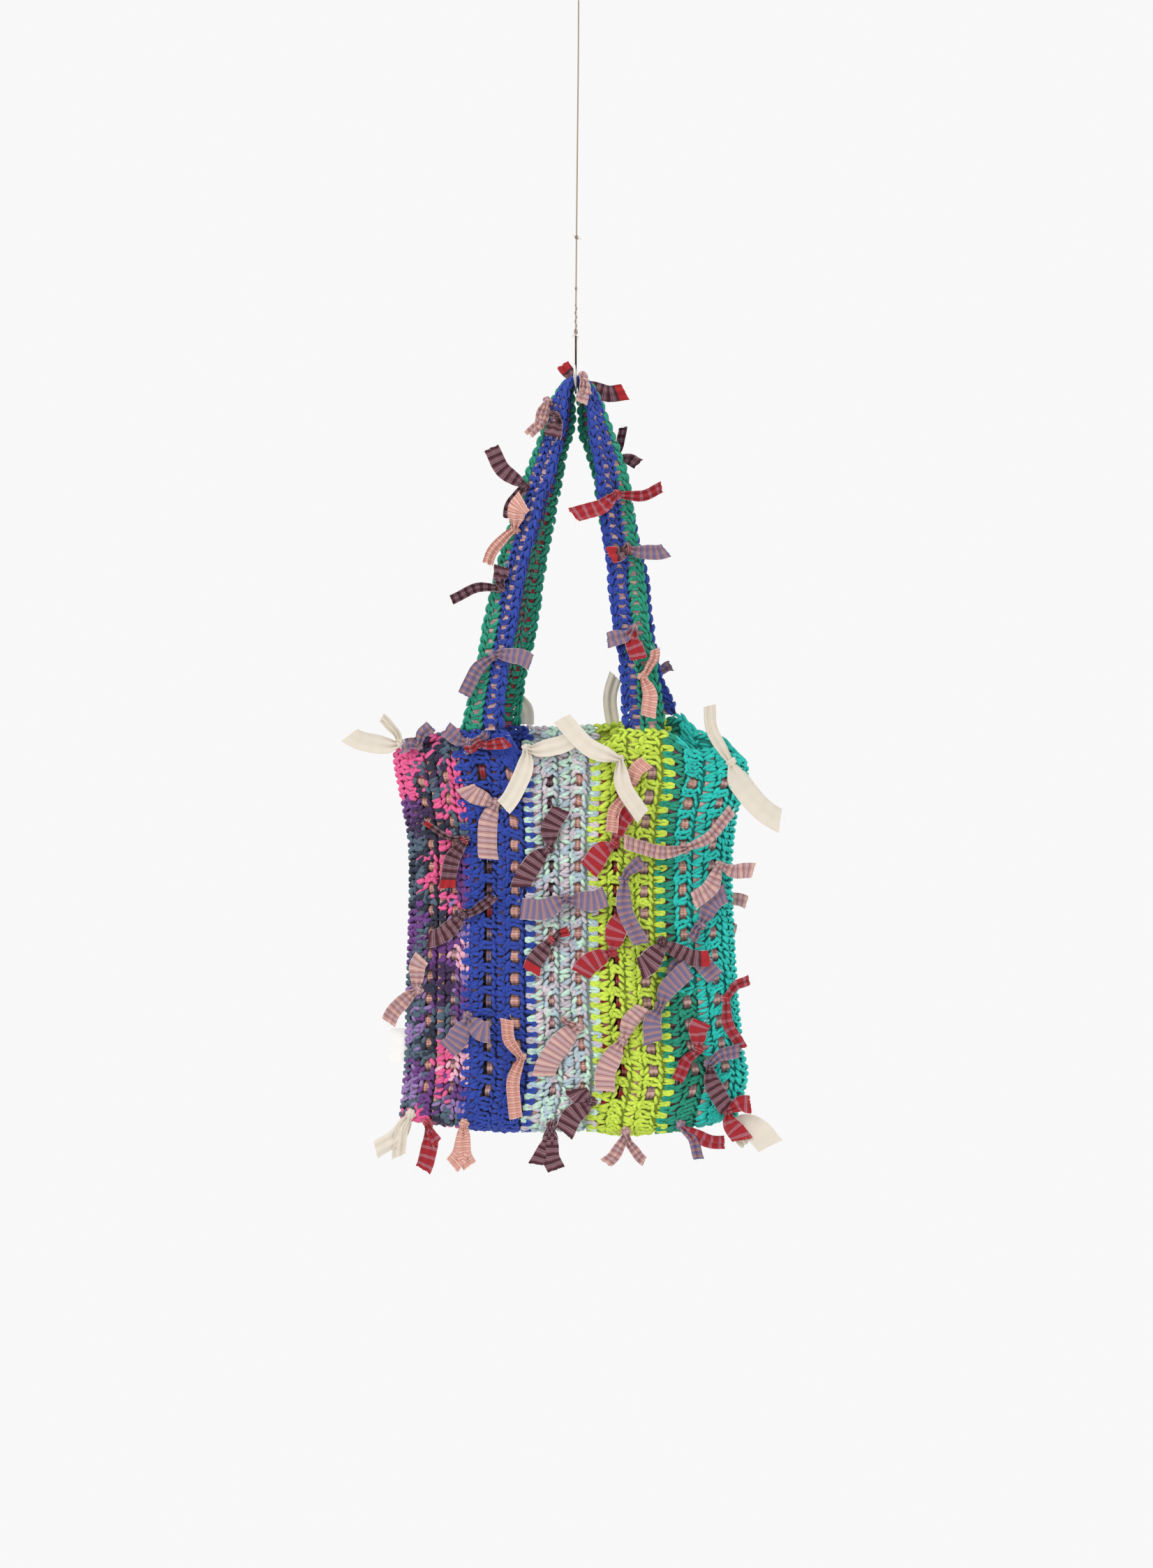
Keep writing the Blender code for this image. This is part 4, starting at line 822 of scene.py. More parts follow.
def build_studio():
    world = bpy.data.worlds.new("studio")
    world.use_nodes = True
    backdrop = world.node_tree.nodes["Background"].inputs
    backdrop["Color"].default_value = (*WHITE, 1.0)
    backdrop["Strength"].default_value = BACKDROP_STRENGTH
    bpy.context.scene.world = world
    bpy.context.scene.view_settings.view_transform = "Standard"
    area_light("key", (-1.5, -2.0, 1.0), 1.1, 26.0)
    area_light("fill", (1.9, -2.0, 0.1), 1.8, 5.0)
    area_light("back", (0.6, 2.4, 0.8), 1.8, 16.0)
    mesh = bpy.data.meshes.new("floor")
    signs = ((-1, -1), (1, -1), (1, 1), (-1, 1))
    mesh.from_pydata([(x * FLOOR_HALF, y * FLOOR_HALF, FLOOR_HEIGHT) for x, y in signs], [], [(0, 1, 2, 3)])
    floor = add_object("floor", mesh)
    made, _, _ = new_material("pale_floor", Roughness=1.0, Base_Color=(0.97, 0.97, 0.97, 1.0))
    mesh.materials.append(made)


# The thread and the hook


def route(points, count):
    return smooth(np.array([points], float), count)[0]


def in_scene(place):
    """A place of the tables as a place in the scene, in metres."""
    return (Vector(place) - Vector((0.0, 0.0, HANG_HEIGHT))) * MM


def one_way(direction, count):
    """One direction for each point of one strand."""
    return np.broadcast_to(direction, (1, count, 3))


def build_line(linen):
    curve = bpy.data.curves.new("hanging_thread_line", "CURVE")
    curve.dimensions = "3D"
    curve.bevel_depth = THREAD_WIDTH / 2 * MM
    curve.bevel_resolution = 3
    curve.use_fill_caps = True
    line = curve.splines.new("POLY")
    places = route(THREAD_ROUTE, THREAD_POINTS)
    line.points.add(len(places) - 1)
    for point, place in zip(line.points, places):
        point.co = (*in_scene(place), 1.0)
    curve.materials.append(linen)
    return add_object("thread", curve)


def build_loop(linen):
    pile = Pile()
    turn = np.linspace(0, 2 * math.pi, 25)
    heights = HANG_HEIGHT - LOOP_RADIUS - THREAD_WIDTH / 2 + LOOP_RADIUS * np.cos(turn)
    loop = np.stack((LOOP_RADIUS * np.sin(turn), 0 * turn, heights), axis=-1)[None]
    add_tubes(pile, loop, one_way((0.0, -1.0, 0.0), 25), THREAD_WIDTH / 2, linear(COLOURS["linen"]), tip=1.0)
    return pile.build("loop", [linen])


def build_knots(linen):
    """The thread's stray fibres, its knots and the second ply round its lowest stretch."""
    pile = Pile()
    rng = np.random.default_rng(3)
    colour, fibre = linear(COLOURS["linen"]), linear(COLOURS["fibre"])
    for centre, reach, count in THREAD_TUFTS:
        for _ in range(count):
            way = rng.normal(0, 1, 3) * (1.0, 0.6, 1.2)
            way = way / np.linalg.norm(way) * rng.uniform(0.5, 1.0) * reach
            run = np.array([[np.array(centre), np.array(centre) + way * 0.5 + rng.normal(0, 0.5, 3),
                             np.array(centre) + way]])
            add_tubes(pile, smooth(run, 6), one_way((0.0, -1.0, 0.05), 6), 0.12, fibre, 4)
    for h, wide in THREAD_KNOTS:
        x = float(curve_at([(p[2], p[0]) for p in THREAD_ROUTE], h))
        turn = np.linspace(0, 4 * math.pi, 18)
        heights = h + np.linspace(-1.3, 1.3, 18)
        wrap = np.stack((x + wide * 0.8 * np.cos(turn), wide * 0.8 * np.sin(turn), heights), -1)
        add_tubes(pile, wrap[None], one_way((0.0, 0.1, 1.0), 18), 0.55, colour)
    lower = route(THREAD_ROUTE[:2], 40)
    turn = np.linspace(0, 22.0, 40)
    ply = lower + np.stack((0.75 * np.cos(turn), 0.75 * np.sin(turn), 0 * turn), -1)
    add_tubes(pile, ply[None], one_way((0.0, -1.0, 0.02), 40), 0.5, colour)
    return pile.build("thread_knots", [linen])


def build_thread():
    """The twisted thread, taut from the hook's eye to its loop, with its knots, tufts and stray fibres."""
    linen = plain_material("linen_thread", COLOURS["linen"], 0.85, grain=2600.0)
    thread = build_line(linen)
    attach(thread, "root")
    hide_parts("hanging_thread")
    loops = build_loop(linen)
    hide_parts("thread_loop")
    knots = build_knots(linen)
    tuple(in_scene(THREAD_ROUTE[0]))


def build_hook():
    """The wire hook, dull on its shank and bright at its point."""
    x, start = HOOK_ROUTE[0][0], math.radians(-90 - EYE_OPEN)
    turn = start - (2 * math.pi - math.radians(2 * EYE_OPEN)) * np.linspace(0, 1, EYE_STEPS)
    eye = np.stack((0 * turn + x, EYE_RADIUS * np.cos(turn), EYE_HEIGHT + EYE_RADIUS * np.sin(turn)), axis=-1)
    line = np.concatenate((eye, route(HOOK_ROUTE, HOOK_POINTS)))
    out = unit(np.cross(np.gradient(line, axis=0), (1.0, 0.03, 0.02)))
    pile = Pile()
    shank, tip = slice(None, -TIP_POINTS), slice(-TIP_POINTS - 1, None)
    for slot, (part, grey) in enumerate(((shank, (0.1, 0.1, 0.1)), (tip, (0.5, 0.5, 0.5)))):
        add_tubes(pile, line[None, part], out[None, part], HOOK_RADIUS, grey, HOOK_SIDES, 1.0, 1.0, slot)
    points = pile.points[1].reshape(TIP_POINTS + 1, HOOK_SIDES, 3)
    swelling = np.interp(np.arange(TIP_POINTS + 1), (0, 14, 20, 22), (1.0, 1.9, 1.0, 0.25))[:, None, None]
    middle = line[-TIP_POINTS - 1:, None]
    pile.points[1] = (middle + (points - middle) * swelling).reshape(-1, 3)
    made = pile.build("wire_hook", [plain_material("oxidised_steel_wire", "4A3A30", 0.4, 0.9),
                                    plain_material("bright_steel_wire", "C4C2BE", 0.25, 1.0)])
    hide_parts("hanging_hook")


# The bands

GROUND_COLUMNS = (0, 0.08, 0.165, 0.25, 0.325, 0.40, 0.49, 0.585, 0.68, 0.755, 0.83, 0.915, 1.0)
GROUND_STEP = 5  # at least, down the fabric


def build_ground(band):
    """The dense under layer of a band, open at its holes, in its yarn's colours darkened as painted shade."""
    place, total, looks = band_place(band), FABRIC_STOPS[-1], BAND_LOOKS[band]
    stops = sorted({0.0, total, *(stop for span in hole_spans() for stop in span)})
    downs = []
    for low, high in zip(stops, stops[1:]):
        downs += list(np.linspace(low, high, max(int((high - low) / GROUND_STEP), 1) + 1)[:-1])
    downs = np.array(downs + [total])
    lines = np.array(GROUND_COLUMNS) * BAND_MM
    down, across = np.meshgrid(downs, lines, indexing="ij")
    flat = np.stack((across, down, np.full(across.shape, -GROUND_DEPTH)), axis=-1)
    faces = grid_faces(len(downs), len(lines)).reshape(-1, 4)
    middles = flat.reshape(-1, 3)[faces].mean(axis=1)
    open_ = np.zeros(len(faces), bool)
    for rows in hole_spans():
        for shares in HOLE_SPANS:
            open_ |= in_hole(middles, rows, shares)
    pile = Pile()
    flats = flat.reshape(-1, 1, 3)
    # Painted shade: the yarn's colours darkened by the band's factor, for the depths between the strands.
    shades = tints(band, flats, np.random.default_rng(band)).reshape(*across.shape, 3) * looks.ground
    pile.add(place(flat), flat[..., :2] * UV_SCALE, shades, faces[~open_])
    return pile


def filling(rng):
    """Short strands of the stitches' backs, deep between the others."""
    spots = rng.uniform((2.0, 3.0), (BAND_MM - 2.0, FABRIC_STOPS[-1] - 3.0), (FILLING, 2))
    for rows in hole_spans():
        for shares in HOLE_SPANS:
            inside = in_hole(spots, rows, shares, margin=1)
            spots[inside, 1] = rows[0] - rng.uniform(1.0, 7.0, inside.sum())
    slants = rng.normal(0.0, 0.7, FILLING)
    ways = np.stack((np.cos(slants), np.sin(slants)), axis=-1) * rng.uniform(*FILLING_REACH, (FILLING, 1))
    controls = np.zeros((FILLING, 3, 3))
    for i, (step, out) in enumerate(((-1.0, -2.9), (0.0, -1.8), (1.0, -2.9))):
        controls[:, i, :2] = spots + ways * step
        controls[:, i, 2] = out
    return controls


def bars(left, right, looks, rng):
    """A bar's two strands between the edges of a column of holes, each drawn across the other."""
    slant, part = looks.slant * rng.uniform(0.6, 1.2), rng.uniform(0.45, 0.6)
    meet = left + (right - left) * part
    return (((left - 0.5, slant, -0.9), (left + 2.2, slant * 0.8, 1.2), (meet, slant * 0.1 - 0.4, 1.0),
             (meet + 2.2, -slant * 0.2, -0.6)),
            ((meet - 1.6, slant * 0.2 + 0.5, -0.4), (meet + 0.8, 0.4, 1.2), (right - 2.2, -slant * 0.7, 1.2),
             (right + 0.3, -slant, -0.9)))


CHAIN_EDGES = ((0, 1), (0, -1), (4, -1))  # bands and the way in from their edges that are worked as chains


def lay_band(band, pile):
    """The stitches of one band, with those near the mouths shown on the inside too."""
    place, looks = band_place(band), BAND_LOOKS[band]
    rng = np.random.default_rng(20 + band)
    total = FABRIC_STOPS[-1]
    even = np.arange(6.0, total - 4.0, STITCH_PITCH)
    chains = np.arange(5.0, total - 2, CHAIN_PITCH)
    groups = []
    for across, stitch, mirror in zip(LADDER_LINES, looks.ladders, (1, 1 if looks.slant > 0 else -1)):
        groups += laid(stitch, across, even, mirror)
    lines = [[sum(span) / 2 * BAND_MM + sign * (wide / 2 + HOLE_RIM) for sign in (-1, 1)]
             for span, wide in zip(HOLE_SPANS, looks.open)]
    for number, across in enumerate(lines[0] + lines[1]):
        groups += laid(SIDE, across, np.arange(4.0 + number, total - 3, SIDE_PITCH), 1 if number % 2 else -1)
    for across, mirror, shift in zip(HOOK_LINES, (1, -1), (0.0, 0.5)):
        if (band, mirror) in CHAIN_EDGES:
            groups += laid(CHAIN, across + mirror * 0.6, chains) + laid(SIDE, across + mirror * 4.0, chains)
        else:
            groups += laid(HOOK, across, even + shift * STITCH_PITCH, mirror)
    middles, heights = np.array(solid_rows()).T
    for left, right in lines:
        groups += laid(KNOT, left + 0.3, middles)
        for offset in (-0.25, 0.25):
            groups += laid(bars(left, right, looks, rng), 0.0, middles + heights * offset)
    for down, flip in ((0.0, 1.0), (total, -1.0)):
        for x in np.arange(3.2, BAND_MM, EDGING_PITCH):
            groups += laid(EDGING, x, [down], stretch=flip)
    deep = filling(rng)
    yarn_tubes(pile, place, deep, tints(band, deep, rng), looks.yarn, rng, sides=4)
    for flats in groups:
        middle = flats[:, flats.shape[1] // 2, 1]
        near_mouth = (middle < INSIDE_FRONT) | (middle > total - INSIDE_BACK)
        within = flats[near_mouth] * (1, 1, -1) - (0, 0, WALL)
        for strands in (flats, within):
            yarn_tubes(pile, place, strands, tints(band, strands, rng), looks.yarn, rng)


SEAM_PITCH, SEAM_RISE, UNDER_RISE = 6.2, 3.2, 2.4  # the stitches' rise from the edges, and the under layer's
SEAM_SAMPLES, UNDER_COLUMNS = 900, 6


def side_seam(band, pile, ground):
    """The seam up a side of the bag: its under layer, and stitches whipped over the two panels' edges."""
    place, looks = band_place(band), BAND_LOOKS[band]
    edge, out = (0.0, -1.0) if band == 0 else (BAND_MM, 1.0)
    rng, downs = np.random.default_rng(60 + band), np.linspace(0.0, FABRIC_STOPS[-1], SEAM_SAMPLES)

    def around(heights, shares, depth, rise):
        """Points at these heights and shares of the way round from the front's edge to the back's."""
        line = place(np.stack(np.broadcast_arrays(edge, downs, depth), axis=-1))
        low = int(np.argmin(line[:, 2]))
        front, back = (np.stack([np.interp(heights, part[:, 2], part[:, i]) for i in range(3)], axis=-1)
                       for part in (line[low::-1], line[low:]))
        points = front + (back - front) * shares[..., None]
        points[..., 0] += out * rise * np.sin(math.pi * shares)
        return points

    lowest = float(fold_top(np.array(edge / BAND_MM))) - 6
    heights = np.arange(lowest, mouth_top(np.array(edge / BAND_MM), -1) - 3, SEAM_PITCH)
    shares, offsets = np.linspace(-0.3, 1.3, 8), np.linspace(4.0, -4.0, 8)
    spots = np.stack(np.broadcast_arrays(edge, heights.max() - heights, 0.0), axis=-1)[:, None]
    colours = tints(band, spots, rng)
    runs = heights[:, None] + offsets + rng.normal(0, 0.6, (len(heights), 1))
    middle = around(runs, np.broadcast_to(shares, runs.shape), 0.2, SEAM_RISE)
    outward = np.broadcast_to((out, 0.0, 0.0), middle.shape)
    radii = looks.yarn * rng.uniform(0.9, 1.1, len(runs))
    add_tubes(pile, middle, outward, radii, colours, flat=YARN_FLAT, swell=True)
    rows, columns = np.meshgrid(heights, np.linspace(-0.05, 1.05, UNDER_COLUMNS), indexing="ij")
    # The seam's under layer is darkened the same way, as painted shade between the stitches.
    under = np.repeat(colours[:, None] * looks.ground, UNDER_COLUMNS, axis=1)
    uvs = np.stack((rows, columns * 9), axis=-1) * UV_SCALE
    ground.add(around(rows, columns, -GROUND_DEPTH, UNDER_RISE), uvs, under, grid_faces(*rows.shape))


WINDOW_HALF = 3.2  # of the width of cloth that shows in a ladder


def window_ribbons(band, pile):
    """The strips of cloth that show between the stitches of the ladders."""
    place, total = band_place(band), FABRIC_STOPS[-1]
    downs = np.arange(4.0, total - 3.0, 4.0)
    for across, cloth in zip(LADDER_LINES, BAND_LOOKS[band].windows):
        down, offset = np.meshgrid(downs, np.linspace(-WINDOW_HALF, WINDOW_HALF, 4), indexing="ij")
        out = np.full(down.shape, -1.7) + 0.4 * np.sin(down * 0.9 + offset)
        uvs = np.stack((down, (offset + WINDOW_HALF) / (2 * WINDOW_HALF) * 0.8 + 0.1), axis=-1)
        flat = np.stack((across + offset, down, out), axis=-1)
        pile.add(place(flat), uvs, WHITE, grid_faces(len(downs), 4), 1 + cloth)


def build_bands(cloths):
    for band, name in enumerate(BAND_NAMES):
        yarn = yarn_material("cotton_yarn_" + name)
        base, pile = build_ground(band), Pile()
        lay_band(band, pile)
        if band in (0, 4):
            side_seam(band, pile, base)
        window_ribbons(band, pile)
        ground = base.build(f"ground_{name}", [yarn])
        stitches = pile.build(f"crochet_{name}", [yarn, *cloths])
        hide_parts("band_" + name)
        width = (BAND_EDGES[band + 1] - BAND_EDGES[band]) * float(bag_width())


# The handles

STRAP_PITCH = 9.0
BAR = (((-3.4, -0.9, -1.0), (-1.3, -1.3, 0.7), (1.4, -0.9, 0.8), (3.4, -1.5, -1.0)),
       ((-3.4, 1.1, -1.0), (-1.2, 1.0, 0.9), (1.5, 1.4, 0.7), (3.4, 1.0, -1.0)))
PARTINGS = {  # where a strap's two colours part, from its outer edge, down its length
    -1: ((0, 15), (100, 14), (200, 12), (270, 6), (350, 3), (390, 8), (430, 12), (520, 14), (600, 16),
         (720, 17)),
    1: ((0, 10), (100, 11), (175, 14), (230, 20), (290, 21), (340, 17), (400, 13), (720, 15)),
}
CREASE = ((60, 0), (140, 0.9), (300, 1), (330, 0), (380, 0), (420, 0.6), (520, 0.2))  # how strong the fold is, down it: how deep it sinks and how dark its painted shade is
CREASE_LINE, CREASE_WIDTH, CREASE_DEPTH = 20.5, 2.2, 2.4  # of the front strap's fold
RAIL_LINES, BAR_LINES, SIDE_LINES = (2.0, 28.0), (9.3, 20.4), (5.6, 13.0, 16.6, 24.3)
STRAP_YARN, STRAP_SHADE = 1.65, 0.25  # the yarn's radius, and how far the layer under it is darkened, as painted shade between the strands
STRAP_WINDOWS = {-1: ((6.0, 12.6, P), (17.2, 23.6, P)), 1: ((6.0, 12.6, P), (17.2, 23.6, R))}
STRAP_GROUND = (0.8, 6.0, 12.0, 15.0, 18.0, 23.6, 26.4, 29.2)
GAP_COLUMN = 5  # of the under layer, open at every other step


def lay_strap(side, pile, outer, inner):
    """The stitches on both faces of a strap: its edges, two columns of bars and the strands beside them."""
    rng = np.random.default_rng(40 + side)
    downs = np.arange(4.0, STRAP_LENGTH - 7, STRAP_PITCH)
    for sign in (1, -1):
        sides = np.arange(4.0, STRAP_LENGTH - 4, SIDE_PITCH)
        groups = laid(RAIL, RAIL_LINES[0], downs, sink=0.5) + laid(RAIL, RAIL_LINES[1], downs + 3, sink=0.6)
        groups += laid(BAR, BAR_LINES[0], downs + 1, sink=0.9)
        groups += laid(BAR, BAR_LINES[1], downs + 4, mirror=-1, sink=0.9)
        for number, across in enumerate(SIDE_LINES):
            groups += laid(SIDE, across, sides + number, 1 if number % 2 else -1, sink=0.9)
        for flats in groups:
            crease = np.exp(-(((flats[..., 0] - CREASE_LINE) / CREASE_WIDTH) ** 2))
            crease = crease * curve_at(CREASE, flats[..., 1]) * (side < 0)
            flats[:, :, 2] = (flats[..., 2] - CREASE_DEPTH * crease) * sign
            middles = flats[:, flats.shape[1] // 2]
            parts = (curve_at(PARTINGS[side], middles[:, 1]) > middles[:, 0])[:, None]
            shade = np.where(parts, outer, inner) * rng.uniform(0.88, 1.12, (len(flats), 1))
            # Strands in the front strap's fold are darkened by up to 70%: painted shade in the crease.
            shade = shade * (1 - 0.7 * crease[:, crease.shape[1] // 2])[:, None]
            yarn_tubes(pile, strap_place(side), flats, shade, STRAP_YARN, rng, 0.35, sides=5)


def build_handle(side, cloths):
    """One strap: a green half and a blue half, each with a column of windows, and rails at its edges."""
    word = "front" if side < 0 else "back"
    place = strap_place(side)
    colours = np.array([linear(COLOURS["emerald"]), linear(COLOURS["royal_blue"])])
    outer, inner = colours if side < 0 else colours[::-1]
    pile, ground = Pile(), Pile()
    lay_strap(side, pile, outer, inner)
    steps = np.arange(1.0, STRAP_LENGTH - 1, STRAP_PITCH / 2)
    down, across = np.meshgrid(steps, np.array(STRAP_GROUND), indexing="ij")
    flat = np.stack((across, down, np.zeros(down.shape)), axis=-1)
    # The strap's under layer takes its yarn colours darkened by STRAP_SHADE: painted shade between the
    # strands.
    shades = np.where((across < curve_at(PARTINGS[side], down))[..., None], outer, inner) * STRAP_SHADE
    faces = grid_faces(*down.shape)
    closed = np.ones(faces.shape[:2], bool)
    closed[1:-1:2, GAP_COLUMN] = False
    ground.add(place(flat), flat[..., :2] * UV_SCALE, shades, faces[closed])
    for low, high, cloth in STRAP_WINDOWS[side]:
        down, across = np.meshgrid(steps, np.linspace(low, high, 4), indexing="ij")
        uvs = np.stack((down, (across - low) / (high - low) * 0.8 + 0.1), axis=-1)
        for out in (0.7, -0.7):
            flat = np.stack((across, down, np.full(down.shape, out)), axis=-1)
            pile.add(place(flat), uvs, WHITE, grid_faces(*down.shape), 1 + cloth)
    yarn = yarn_material(f"cotton_yarn_handle_{word}")
    stitches = pile.build(f"crochet_handle_{word}", [yarn, *cloths])
    base = ground.build(f"ground_handle_{word}", [yarn])
    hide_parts("handle_" + word)


# Ties

PLEATS = 2
RIBBON_POINTS, TAIL_STEPS = 13, 12
KNOT_CLOTH = 30.0  # the length of cloth in a knot


def ribbon(pile, line, outward, widths, slot, rng):
    """A strip of cloth along a line, pleated where it shows narrower than it is. Gives its length."""
    samples, count = len(line), RIBBON_POINTS
    steps = np.gradient(line, axis=0)
    along = unit(steps)
    across = unit(np.cross(along, outward))
    out = np.cross(across, along)
    out = np.where((out * outward).sum(-1, keepdims=True) < 0, -out, out)
    t = np.linspace(-0.5, 0.5, count)
    depth = np.sqrt(np.maximum(CLOTH_WIDTH ** 2 - widths ** 2, 4.0)) / (4 * PLEATS)
    phase = rng.uniform(0, 6.28)
    wave = np.cos(2 * math.pi * PLEATS * t + phase)[None] * depth[:, None]
    lift = 1.5 * (4 * t * t)[None] * (widths / CLOTH_WIDTH)[:, None] * rng.choice((-0.6, 1.0))
    points = (line[:, None] + across[:, None] * (t[None] * widths[:, None])[..., None]
              + out[:, None] * (wave + lift)[..., None])
    gone = np.cumsum(np.linalg.norm(steps, axis=-1))
    length = float(gone[-1])
    ragged = np.zeros((samples, count))
    ragged[-1] = rng.uniform(-0.35, 0.35, count)
    ragged += rng.uniform(-0.45, 0.45) * widths[:, None] * t[None] * np.linspace(0, 1, samples)[:, None] ** 3
    points = points + along[:, None] * ragged[..., None]
    uvs = np.stack(np.broadcast_arrays((length - gone)[:, None], (t + 0.5)[None]), axis=-1)
    pile.add(points, uvs, WHITE, grid_faces(samples, count), slot)
    return length


def fray(pile, end, ahead, across, width, slot, rng):
    """Loose white threads at a cut end."""
    for _ in range(5):
        root = end + across * rng.uniform(-0.5, 0.5) * width
        way = ahead * rng.uniform(1.0, 3.2) + rng.normal(0, 0.9, 3)
        run = np.array([[root - ahead, root + way * 0.5 + rng.normal(0, 0.3, 3), root + way]])
        add_tubes(pile, smooth(run, 4), one_way((0.05, -1.0, 0.07), 4), 0.08, (0.6, 0.5, 0.5), 4, slot=slot)


def tail(pile, root, tip, width, y_at, bend, cloth, side, rng):
    """One tail of a tie, from its knot to its cut end. Gives its length."""
    root = np.array(root, float)
    run = np.array((tip[0] - root[0], 0.0, tip[1] - root[2]))
    length = float(np.linalg.norm(run))
    square = unit(np.array((-run[2], 0.0, run[0])))
    share = np.linspace(0, 1, TAIL_STEPS)
    sway = np.sin(math.pi * share) * bend * length + 0.6 * np.sin(share * 9 + rng.uniform(0, 6))
    line = root[None] + run[None] * share[:, None] + square[None] * sway[:, None]
    line[:, 1] = y_at(line[:, 0], line[:, 2], share)
    line[:, 1] += side * 0.9 * np.sin(share * math.pi * 2 + rng.uniform(0, 6)) * share
    flare = np.array((0.0, 3.0, 9.0, 18.0)) / max(length, 20.0)
    widths = np.interp(share, np.minimum(flare, (0, 0.2, 0.5, 0.9)), (5.0, 6.5, width * 0.8, width))
    tilt = rng.uniform(-0.35, 0.35)
    outward = unit(np.array((0.0, side, 0.0)) + square * tilt)
    outward = np.broadcast_to(outward, line.shape)
    made = ribbon(pile, line, outward, widths, cloth, rng)
    ahead = unit(line[-1] - line[-2])
    fray(pile, line[-1], ahead, square, width, len(CLOTH_NAMES), rng)
    return made


def knot(pile, centre, outward, across, cloth):
    """The tight wrap of cloth between a tie's two tails."""
    outward, across = unit(np.array(outward, float)), unit(np.array(across, float))
    along = np.cross(across, outward)
    turn = np.linspace(-0.35, math.pi + 0.35, 12)
    for shift, reach in ((-1.2, 2.9), (1.1, 3.4)):
        line = (centre + along * shift + across * (np.cos(turn) * reach)[:, None]
                + outward * (np.sin(turn) * (reach * 0.95))[:, None])
        add_tubes(pile, line[None], one_way(along, 12), 1.8, WHITE, 8, 1.1, 0.8, slot=cloth, span=0.8)
    core = np.array([[centre - along * 4.5, centre + outward * 1.0, centre + along * 4.5]])
    add_tubes(pile, smooth(core, 6), one_way(outward, 6), 2.3, WHITE, 8, 0.9, 0.7, slot=cloth, span=0.8)


def strip_middle(column):
    """Where the strip of a column of holes runs, as a share of the bag's width."""
    band, which = divmod(column, len(HOLE_SPANS))
    low, high = BAND_EDGES[band], BAND_EDGES[band + 1]
    left, right = (low + (high - low) * share for share in HOLE_SPANS[which])
    return sum(left + (right - left) * share for share in STRIP_SHARES) / 2


def tie_downs(side):
    """The places down the fabric that ties can pass."""
    spans = [sum(span) / 2 for span in hole_spans()]
    if side < 0:
        return [d for d in spans if d < FRONT_LENGTH] + [12.0, FRONT_LENGTH + FOLD_LENGTH * 0.3]
    return [d for d in spans if d > FRONT_LENGTH + FOLD_LENGTH]


def nearest_column(tie, side):
    """The column of the hole that the tie passes through."""
    best = None
    for column in range(2 * len(BAND_NAMES)):
        u = strip_middle(column)
        for down in tie_downs(side):
            middle = shell(np.array(u), fabric_v(np.array(down)))
            far = (middle[0] - tie.knot_x) ** 2 + (middle[2] - tie.knot_h) ** 2
            if best is None or far < best[0]:
                best = (far, column)
    return best[1]


STRIP_POINTS = 11
# Where a carried strip's edge lies in the hole, as a share, and its cloths down to each place
Carried = namedtuple("Carried", "start runs")
CARRIED = [Carried(*row) for row in (
    (0.10, ((999, S),)),
    (0.10, ((160, S), (999, P))),
    (0.35, ((60, R), (140, B), (165, R), (250, L), (999, P))),
    (-0.10, ((999, S),)),
    (0.25, ((150, B), (999, P))),
    (0.05, ((999, S),)),
    (0.40, ((999, R),)),
    (-0.05, ((999, P),)),
    (0.10, ((180, S), (999, P))),
    (0.10, ((999, P),)),
)]


def carried_strip(pile, place, low, high, downs, depth, cloth, rng):
    """The strip of cloth that runs behind a column of holes, folded narrow. Gives its length."""
    flat = np.zeros((len(downs), STRIP_POINTS, 3))
    t = np.linspace(0, 1, STRIP_POINTS)
    low, depth = np.broadcast_to(low, downs.shape), np.broadcast_to(depth, downs.shape)
    flat[..., 0] = low[:, None] + (high - low)[:, None] * t
    flat[..., 1] = downs[:, None]
    fold = np.sqrt(np.maximum(CLOTH_WIDTH ** 2 - (high - low) ** 2, 1.0))[:, None] / 8 * 0.6
    wave = fold * np.cos(4 * math.pi * t + rng.uniform(0, 6))
    flat[..., 2] = -depth[:, None] + wave - fold * (2 * t - 1) ** 2
    points = place(flat)
    uvs = np.stack(np.broadcast_arrays(downs[:, None], t[None]), axis=-1)
    slots = np.repeat(cloth[:-1], STRIP_POINTS - 1)
    pile.add(points, uvs, WHITE, grid_faces(len(downs), STRIP_POINTS), slots)
    return float(downs[-1] - downs[0])


STRIP_DEEP, STRIP_LIFT = 6.9, 6.3  # under the outer face, and how far it comes forward at a hole
BACK_SPREAD = 3.0  # of the strips beyond the holes on the back


def build_ties(cloths):
    ties = [(side, tie, nearest_column(tie, side)) for side, ties in ((-1, FRONT_TIES), (1, BACK_TIES))
            for tie in ties]
    downs = np.arange(8.0, FABRIC_STOPS[-1] - 32, 3.0)
    middles = np.array([(a + b) / 2 for a, b in hole_spans()])
    near = np.exp(-(np.abs(downs[:, None] - middles[None]).min(axis=1) / 4.6) ** 4)
    for column, (start, runs) in enumerate(CARRIED):
        rng = np.random.default_rng(60 + column)
        pile = Pile()
        left, right = [share * BAND_MM for share in HOLE_SPANS[column % 2]]
        on_front = left + (right - left) * start
        left = np.where(downs > FABRIC_STOPS[2], left - BACK_SPREAD, on_front)
        kinds = np.select([downs < end for end, _ in runs], [kind for _, kind in runs])
        depth = STRIP_DEEP - STRIP_LIFT * near
        total = carried_strip(pile, band_place(column // 2), left, right, downs, depth, kinds, rng)
        for side, tie, nearest in ties:
            if nearest == column:
                total += bag_tie(pile, tie, side, rng)
        made = pile.build(f"ties_{column + 1:02d}", cloths)
        finish_ties(f"tie_strip_{column + 1:02d}")


def finish_ties(node_name):
    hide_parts(node_name)


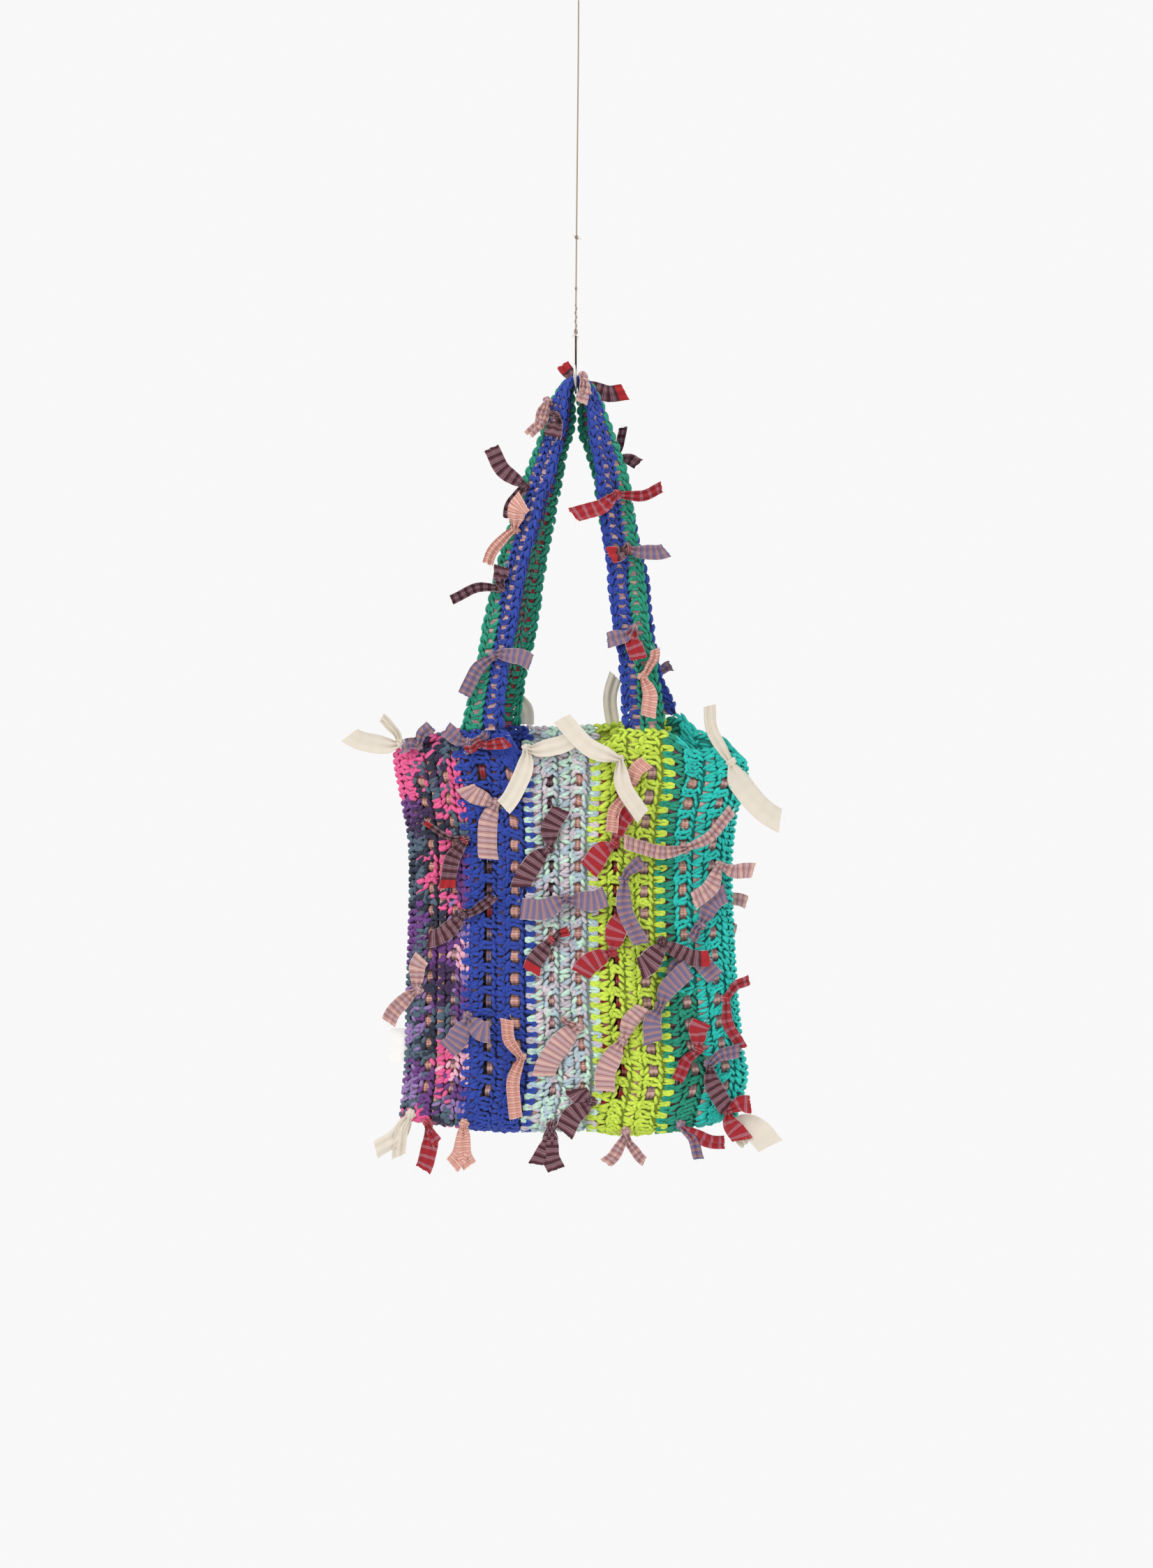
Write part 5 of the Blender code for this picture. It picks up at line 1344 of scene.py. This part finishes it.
def tied(pile, tie, centre, outward, y_ats, side, rng):
    """A tie's knot and its two tails, each with its own function for y. Gives its length of cloth."""
    across = np.array((tie.b_h - tie.a_h, 0.0, tie.a_x - tie.b_x), float)
    first, second = tie.cloth if isinstance(tie.cloth, tuple) else (tie.cloth, tie.cloth)
    knot(pile, centre, outward, across, first)
    total = KNOT_CLOTH
    ends = (((tie.a_x, tie.a_h), tie.a_width, 0.10, first), ((tie.b_x, tie.b_h), tie.b_width, -0.10, second))
    for y_at, (tip, width, bend, cloth) in zip(y_ats, ends):
        total += tail(pile, centre, tip, width, y_at, bend, cloth, side, rng)
    return total


def bag_tie(pile, tie, side, rng):
    y = float(front_y(np.array(tie.knot_x, float), np.array(tie.knot_h, float), side))
    centre = np.array((tie.knot_x, y + side * (1.5 + 1.2 * tie.layer), tie.knot_h), float)

    def y_at(x, h, share):
        out = 4.6 + 3.2 * tie.layer + 1.5 * share
        return front_y(x, h, side) + side * out

    return tied(pile, tie, centre, (0.0, side, 0.0), (y_at, y_at), side, rng)


def strap_tie(pile, tie, side, rng):
    k, share = np.array(tie.station), np.array(tie.across)
    half = float(station(k).thick) / 2
    centre = strap_point(side, k, share, np.array(half + 1.5))
    outward = centre - strap_point(side, k, share, np.array(0.0))

    def towards(y_tip):
        return lambda x, h, share: centre[1] + side * 2.5 + (y_tip - centre[1] - side * 2.5) * share ** 0.5

    return tied(pile, tie, centre, outward, (towards(tie.a_y), towards(tie.b_y)), side, rng)


STRAP_STRIP = (11.4, 18.6, 1.4)  # the edges of a handle's cloth strip, and how deep it lies


def build_handle_ties(side, ties, cloths):
    word = "front" if side < 0 else "back"
    rng = np.random.default_rng(90 + side)
    pile = Pile()
    downs = np.arange(30.0, STRAP_LENGTH - 30.0, 5.0)
    low, high, depth = STRAP_STRIP
    total = carried_strip(pile, strap_place(side), low, high, downs, depth, np.full(len(downs), B), rng)
    for tie in ties:
        total += strap_tie(pile, tie, side, rng)
    made = pile.build(f"handle_ties_{word}", cloths)
    finish_ties(f"handle_strip_{word}")


def build_label():
    """The bare tape tab, a little curled."""
    tape = plain_material("white_cotton_tape", "F4F3EF", 0.85, grain=1600.0, relief=0.0003)
    heights = np.linspace(LABEL_LOW, LABEL_HIGH, 3)
    seam = float(side_to_side(0.0, heights).min())
    reach = np.linspace(-LABEL_SEWN, LABEL_REACH, 9)
    reach, rise = np.meshgrid(reach, np.linspace(LABEL_LOW, LABEL_HIGH, 13), indexing="ij")
    curl = -0.0095 * np.maximum(reach, 0.0) ** 2 + 0.5 * np.sin(rise * 0.21) * reach / LABEL_REACH
    pile = Pile()
    points = np.stack((seam - reach, curl, rise), axis=-1)
    uvs = np.stack((reach, (rise - LABEL_LOW) / (LABEL_HIGH - LABEL_LOW)), axis=-1)
    pile.add(points, uvs, WHITE, grid_faces(*reach.shape))
    made = pile.build("tape_label", [tape])
    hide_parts("side_label")


build_camera()
build_thread()
build_studio()
build_hook()
CLOTHS = [cloth_material(name) for name in CLOTH_NAMES] + [plain_material("frayed_threads", "EFE6E0", 0.9)]
build_bands(CLOTHS)
build_handle(-1, CLOTHS)
build_handle(1, CLOTHS)
build_ties(CLOTHS)
build_handle_ties(-1, FRONT_STRAP_TIES, CLOTHS)
build_handle_ties(1, BACK_STRAP_TIES, CLOTHS)
build_label()
